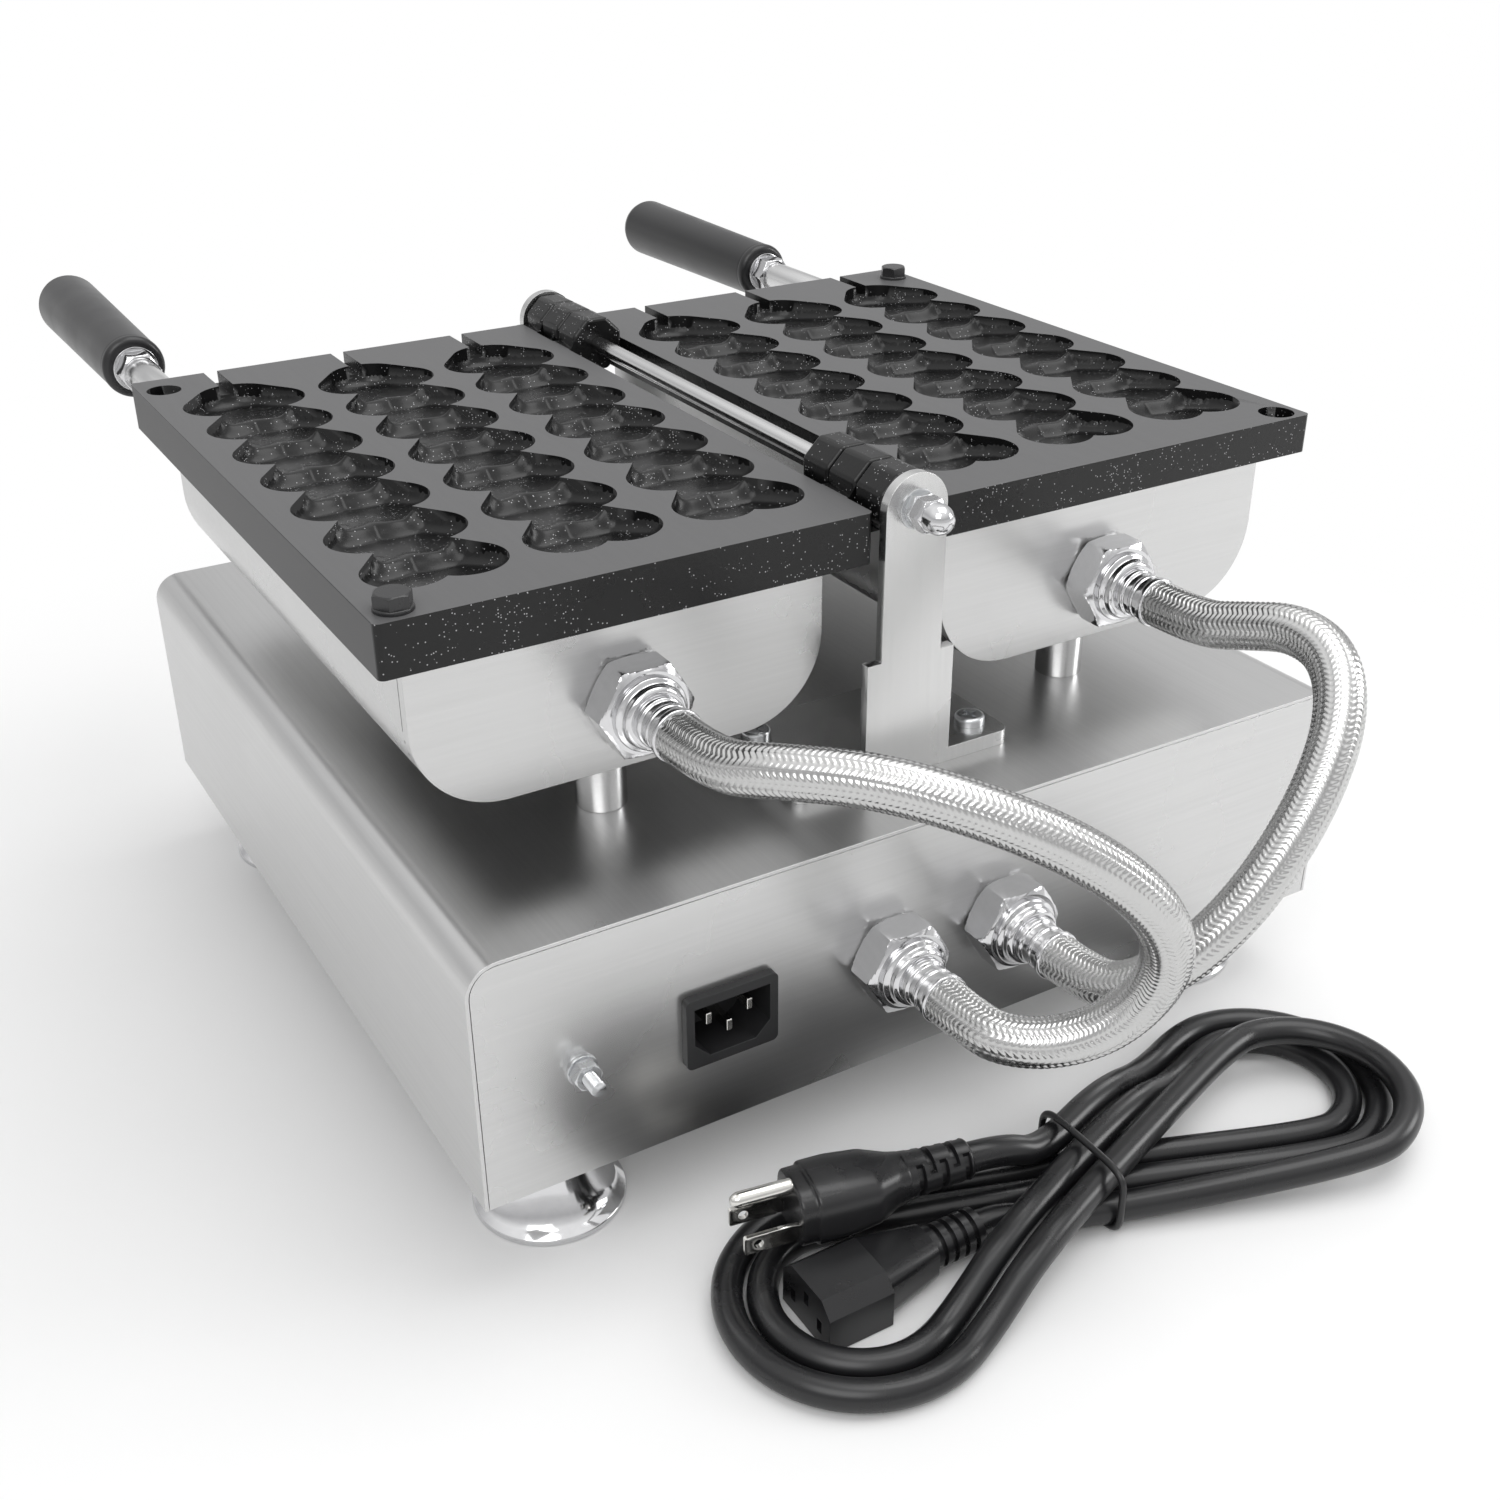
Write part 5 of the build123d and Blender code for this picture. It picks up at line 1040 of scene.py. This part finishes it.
def make_plates():
    """Plates from the CAD with rounded edges, smooth linings in their hollows, and the register pegs."""
    for side, sign in SIDES.items():
        edged_copy(f"plate_{side}", "plate", 1.3, 3, 40.0, plate_edge_shares)
        linings = [column_lining(sign * x) for x in COLUMNS]
        piece(f"hollows_{side}", f"half_{side}", "hollow", linings, sharp=60.0)
        peg_x, peg_y = sign * 157.0, {"right": 118.0, "left": -107.0}[side]
        origin = (peg_x, peg_y, FACE_Z)
        rim = eased([(0.01, -0.5), (5.6, -0.5), (5.6, 1.0), (5.2, 1.3), (0.01, 1.3)], 0.3)
        dimple = eased([(0.01, 4.4), (2.6, 4.4), (3.0, 5.05), (3.4, 4.95)], 0.2)
        head = hexagon(9.6, 3.8, (peg_x, peg_y, FACE_Z + 1.2), UP, (False, True), 0.0, 72)
        piece(f"register_screw_{side}", f"half_{side}", "blackened",
              [turned(rim, origin, UP, 48), head, turned(dimple, origin, UP, 36)],
              (f"register_peg_{side}",), 30.0)


# Turned parts

def make_feet():
    """Bell feet: flat rim, flared polished skirt and a narrow neck, hollow below for the bolt's head."""
    skirt_radius, neck_radius, skirt_start, skirt_end = 24.3, 11.5, 2.4, 29.0
    turn = np.linspace(0, 1, 14)
    radius = skirt_radius + (neck_radius - skirt_radius) * turn ** 0.62
    height = skirt_start + (skirt_end - skirt_start) * turn ** 1.25
    flare = np.stack([radius, height], axis=1)
    rim = [(7.5, 9.0), (7.5, 0.0), (23.6, 0.0), (24.3, 0.5), (24.3, 2.0), (24.0, 2.4)]
    neck = [(neck_radius, 33.9), (0.01, 33.9)]
    profile = np.concatenate([[(0.01, 9.0)], eased(rim, 0.3), flare[1:], neck])
    for end, y in (("front", -124.5), ("rear", 124.5)):
        for side, sign in SIDES.items():
            name = f"foot_{end}_{side}"
            piece(f"{name}_bell", "base", "chrome",
                  [turned(profile, (sign * 129.0, y, 0), UP, 96)], (name,), 30.0)


def make_hinge_hardware():
    """Hinge rod, and at each end a thin nut, its washer and a domed nut."""
    rod = eased([(0.01, -137.0), (3.0, -137.0), (3.0, 141.0), (0.01, 141.0)], 0.4)
    piece("hinge_rod_bar", "base", "bright", [turned(rod, (0, 0, HINGE_Z), REARWARD, 48)],
          ("hinge_rod",))
    flats, thin_length = 10.0, 3.2
    dome_radius, dome_start = 4.7, 7.3
    angle = np.linspace(0, pi / 2, 12)
    dome = np.stack([dome_radius * np.cos(angle), dome_start + dome_radius * np.sin(angle)], axis=1)
    dome = np.concatenate([[(0.01, 4.6), (dome_radius, 4.6)], dome[:-1], [(0.01, 12.0)]])
    washer = eased([(3.05, -0.02), (6.2, -0.02), (6.2, 0.5), (3.05, 0.5)], 0.1)
    thin, domed = [], []
    for seat, outward in ((130.0, 1.0), (-126.0, -1.0)):
        way = REARWARD * outward
        thin.append(hexagon(flats, thin_length, (0, seat, HINGE_Z), way, bore=3.0))
        thin.append(turned(washer, (0, seat, HINGE_Z), way, 48))
        start = (0, seat + outward * thin_length, HINGE_Z)
        domed += [hexagon(flats, 5.0, start, way), turned(dome, start, way, 48)]
    piece("hinge_thin_nuts", "base", "zinc", thin, ("rod_nuts",), 25.0)
    piece("hinge_domed_nuts", "base", "chrome", domed, ("acorn_nuts",), 25.0)


def make_posts():
    """Turned rest posts under the heater cases."""
    profile = eased([(0.01, -0.05), (8.0, -0.05), (8.0, 19.7), (7.0, 20.7), (0.01, 20.7)], 0.4)
    spigot = eased([(0.01, 0.0), (3.0, 0.0), (3.0, -6.6), (2.5, -7.0), (0.01, -7.0)], 0.3)
    surfaces = []
    for x in (-90.0, 90.0):
        for y in (95.0, -91.0):
            place = (x, y, CABINET_TOP)
            surfaces += [turned(profile, place, UP, 64), turned(spigot, place, UP, 32)]
    piece("rest_post_set", "base", "bright", surfaces, ("rest_posts",), 30.0)


def make_handles():
    """Handle rods with their lock nuts and washers, and the tapered grips with a collar at the nut."""
    rod = eased([(0.01, 0.0), (4.0, 0.0), (4.0, 8.0), (6.0, 8.0), (6.0, 45.9), (5.3, 46.5), (4.0, 46.5),
                 (4.0, 146.5), (0.01, 146.5)], 0.35)
    washer = eased([(4.05, 8.0), (8.5, 8.0), (8.5, 10.0), (4.05, 10.0)], 0.25)
    grip = eased([(4.05, 0.05), (10.4, 0.05), (11.8, 1.4), (11.9, 3.4), (11.55, 3.8), (11.7, 5.0),
                  (13.0, 112.0), (11.6, 115.4), (9.0, 116.0), (0.01, 116.0)], 0.9, 6)
    rod_start, nut_start, grip_start = PLATE_FRONT_Y + 8.0, -160.0, -170.0
    for side, x, z in (("right", 152.8, 197.3), ("left", -129.8, 198.8)):
        body = f"half_{side}"
        piece(f"handle_bar_{side}", body, "bright",
              [turned(rod, (x, rod_start, z), FORWARD, 64)], (f"handle_rod_{side}",), 30.0)
        lock = [hexagon(14.0, 8.0, (x, nut_start, z), FORWARD, bore=4.0),
                turned(washer, (x, nut_start, z), FORWARD, 64)]
        piece(f"handle_lock_{side}", body, "chrome", lock, (f"handle_nut_{side}",), 25.0)
        piece(f"handle_grip_{side}", body, "grip",
              [turned(grip, (x, grip_start, z), FORWARD, 96)], (f"grip_{side}",), 40.0)


def make_earth_stud():
    """Threaded earth stud: its radius follows a saw wave along a helix; outer and inner nut with washer."""
    x, z = 130.0, 72.0
    length, pitch, thread_radius, thread_depth = 20.0, 0.8, 2.4, 0.38
    along = np.linspace(0, length, 260)
    around = np.linspace(0, 1, 32, endpoint=False)[None, :]
    turn = (along[:, None] / pitch + around) % 1.0
    started = np.clip(along / 0.5, 0, 1)[:, None]
    radius = thread_radius - thread_depth * (1 - np.abs(2 * turn - 1)) * started
    ends = np.minimum(along, length - along) < 0.01
    radius = np.where(ends[:, None], 0.01, radius)
    stud = swept(along, radius, (x, 148.5, z), REARWARD)
    piece("earth_stud_thread", "base", "zinc", [stud], ("ground_stud",), 50.0)
    washer = eased([(2.55, 0.0), (4.9, 0.0), (4.9, 1.0), (2.55, 1.0)], 0.15)
    nuts = [turned(washer, (x, PANEL_REAR_Y, z), REARWARD, 48)]
    for start in (PANEL_REAR_Y + 1.0, 152.3):
        nuts.append(hexagon(8.0, 4.0, (x, start, z), REARWARD, bore=2.5, around=72))
    piece("earth_nut_set", "base", "zinc", nuts, ("ground_nut",), 25.0)


def make_dial(kind, x, first_mark, span):
    """Knob with a fluted grip, its pointer line and the panel's marks round it."""
    z, knob_start, flutes, flute_depth = 76.0, PANEL_FRONT_Y - 0.6, 24, 0.45
    rings = eased([(3.1, 0.05), (19.3, 0.05), (19.5, 0.6), (19.4, 3.6), (17.2, 4.2), (16.9, 5.0),
                   (16.2, 16.6), (15.0, 17.9), (0.01, 18.0)], 0.5, 4)
    angle = np.linspace(0, 2 * pi, 144, endpoint=False)[None, :]
    fade = np.clip((rings[:, 1] - 4.6) / 1.2, 0, 1) * np.clip((17.2 - rings[:, 1]) / 1.2, 0, 1)
    radius = rings[:, :1] - flute_depth * fade[:, None] * (0.5 + 0.5 * np.cos(flutes * angle))
    knob = swept(rings[:, 1], radius, (x, knob_start, z), FORWARD)
    piece(f"{kind}_dial_knob", f"{kind}_knob", "black", [knob], (f"{kind}_knob",), 45.0)
    pointer = [(x - 0.9, 0, z + 4.0), (x + 0.9, 0, z + 4.0), (x + 0.6, 0, z + 15.6), (x - 0.6, 0, z + 15.6)]
    piece(f"{kind}_pointer", f"{kind}_knob", "mark",
          [flat_bar(pointer, (0, knob_start - 18.1, 0), (0, knob_start - 17.3, 0))])
    marks = []
    for turn in np.radians(np.linspace(first_mark, first_mark + span, 11)):
        outward = np.array([sin(turn), 0.0, cos(turn)])
        across = np.array([cos(turn), 0.0, -sin(turn)])
        corners = [(x, 0.0, z) + outward * reach + across * shift
                   for reach, shift in ((21.5, -0.4), (21.5, 0.4), (24.5, 0.4), (24.5, -0.4))]
        marks.append(flat_bar(corners, (0, PANEL_FRONT_Y - 0.12, 0), (0, PANEL_FRONT_Y + 0.1, 0)))
    piece(f"{kind}_dial_marks", "base", "mark", marks)


def make_cases():
    """Heater cases from the CAD with rounded edges, each with the dark seam of its end sheet: a thin strip
    along the case's U outline, 4 mm in front of the rear face."""
    seam_y, arc_points = CASE_REAR_Y - 4.0, 12
    quarter = np.linspace(0, pi / 2, arc_points)
    turn = np.concatenate([[pi], pi + quarter, 1.5 * pi + quarter, [2 * pi]])
    inner_half = np.arange(len(turn)) <= arc_points
    middle_x = np.where(inner_half, CASE_INNER_X + CASE_CORNER, CASE_OUTER_X - CASE_CORNER)
    radius = CASE_CORNER + np.array([0.02, 0.02, -0.3, -0.3])
    across = np.array([-0.2, 0.2, 0.2, -0.2])
    for side, sign in SIDES.items():
        edged_copy(f"case_{side}", "case", 0.25, 2, 30.0)
        middle_z = np.full(len(turn), CASE_BOTTOM + CASE_CORNER)
        middle_z[[0, -1]] = CASE_TOP[side]
        rings = np.stack(np.broadcast_arrays(
            sign * (middle_x[:, None] + radius * np.cos(turn)[:, None]),
            seam_y + across,
            middle_z[:, None] + radius * np.sin(turn)[:, None]), axis=-1)
        poles = [np.broadcast_to(rings[k].mean(axis=0), (1, 4, 3)) for k in (0, -1)]
        points = np.concatenate([poles[0], rings, poles[1]])
        piece(f"case_seam_{side}", f"half_{side}", "blackened",
              [(points.reshape(-1, 3), ring_faces(len(points), 4))])


def dress_cad_nodes():
    """CAD nodes that keep their shape: rounded copies of what shows, and finishes for what lies inside."""
    for node, finish, slot, width in (
        ("base_wrap", "wrap", "brushed_steel", 0.3), ("rear_panel", "panel", "brushed_steel", 0.15),
        ("front_panel", "panel", "brushed_steel", 0.15), ("bottom_plate", "wrap", "brushed_steel", 0.15),
        ("hinge_bracket_rear", "bracket", "brushed_steel", 0.35),
        ("hinge_bracket_front", "bracket", "brushed_steel", 0.35),
        ("inlet_housing", "black", "black_plastic", 0.4), ("inlet_pins", "nickel", "contact_brass", 0.4),
        ("switch_housing", "black", "black_plastic", 0.35), ("power_rocker", "rocker", "rocker_red", 0.35),
        ("bracket_screws", "zinc", "bright_steel", 0.12), ("indicator_lamps", "lens", "lamp_lens", 0.15),
    ):
        edged_copy(node, finish, width)
    for side in SIDES:
        keep(f"heating_element_{side}", "bright")
        keep(f"insulation_{side}", "wool")
    for node, finish in (("foot_bolts", "zinc"), ("thermostat_body", "black"), ("timer_body", "black"),
                         ("terminal_block", "cream")):
        keep(node, finish)


make_cord_set()
for hose_side in SIDES:
    make_hose(hose_side)
make_hose_fittings()
make_plates()
make_feet()
make_hinge_hardware()
make_posts()
make_handles()
make_earth_stud()
make_dial("thermostat", -18.0, -135.0, 270.0)
make_dial("timer", 66.0, -150.0, 300.0)
make_cases()
dress_cad_nodes()

bpy.context.view_layer.update()
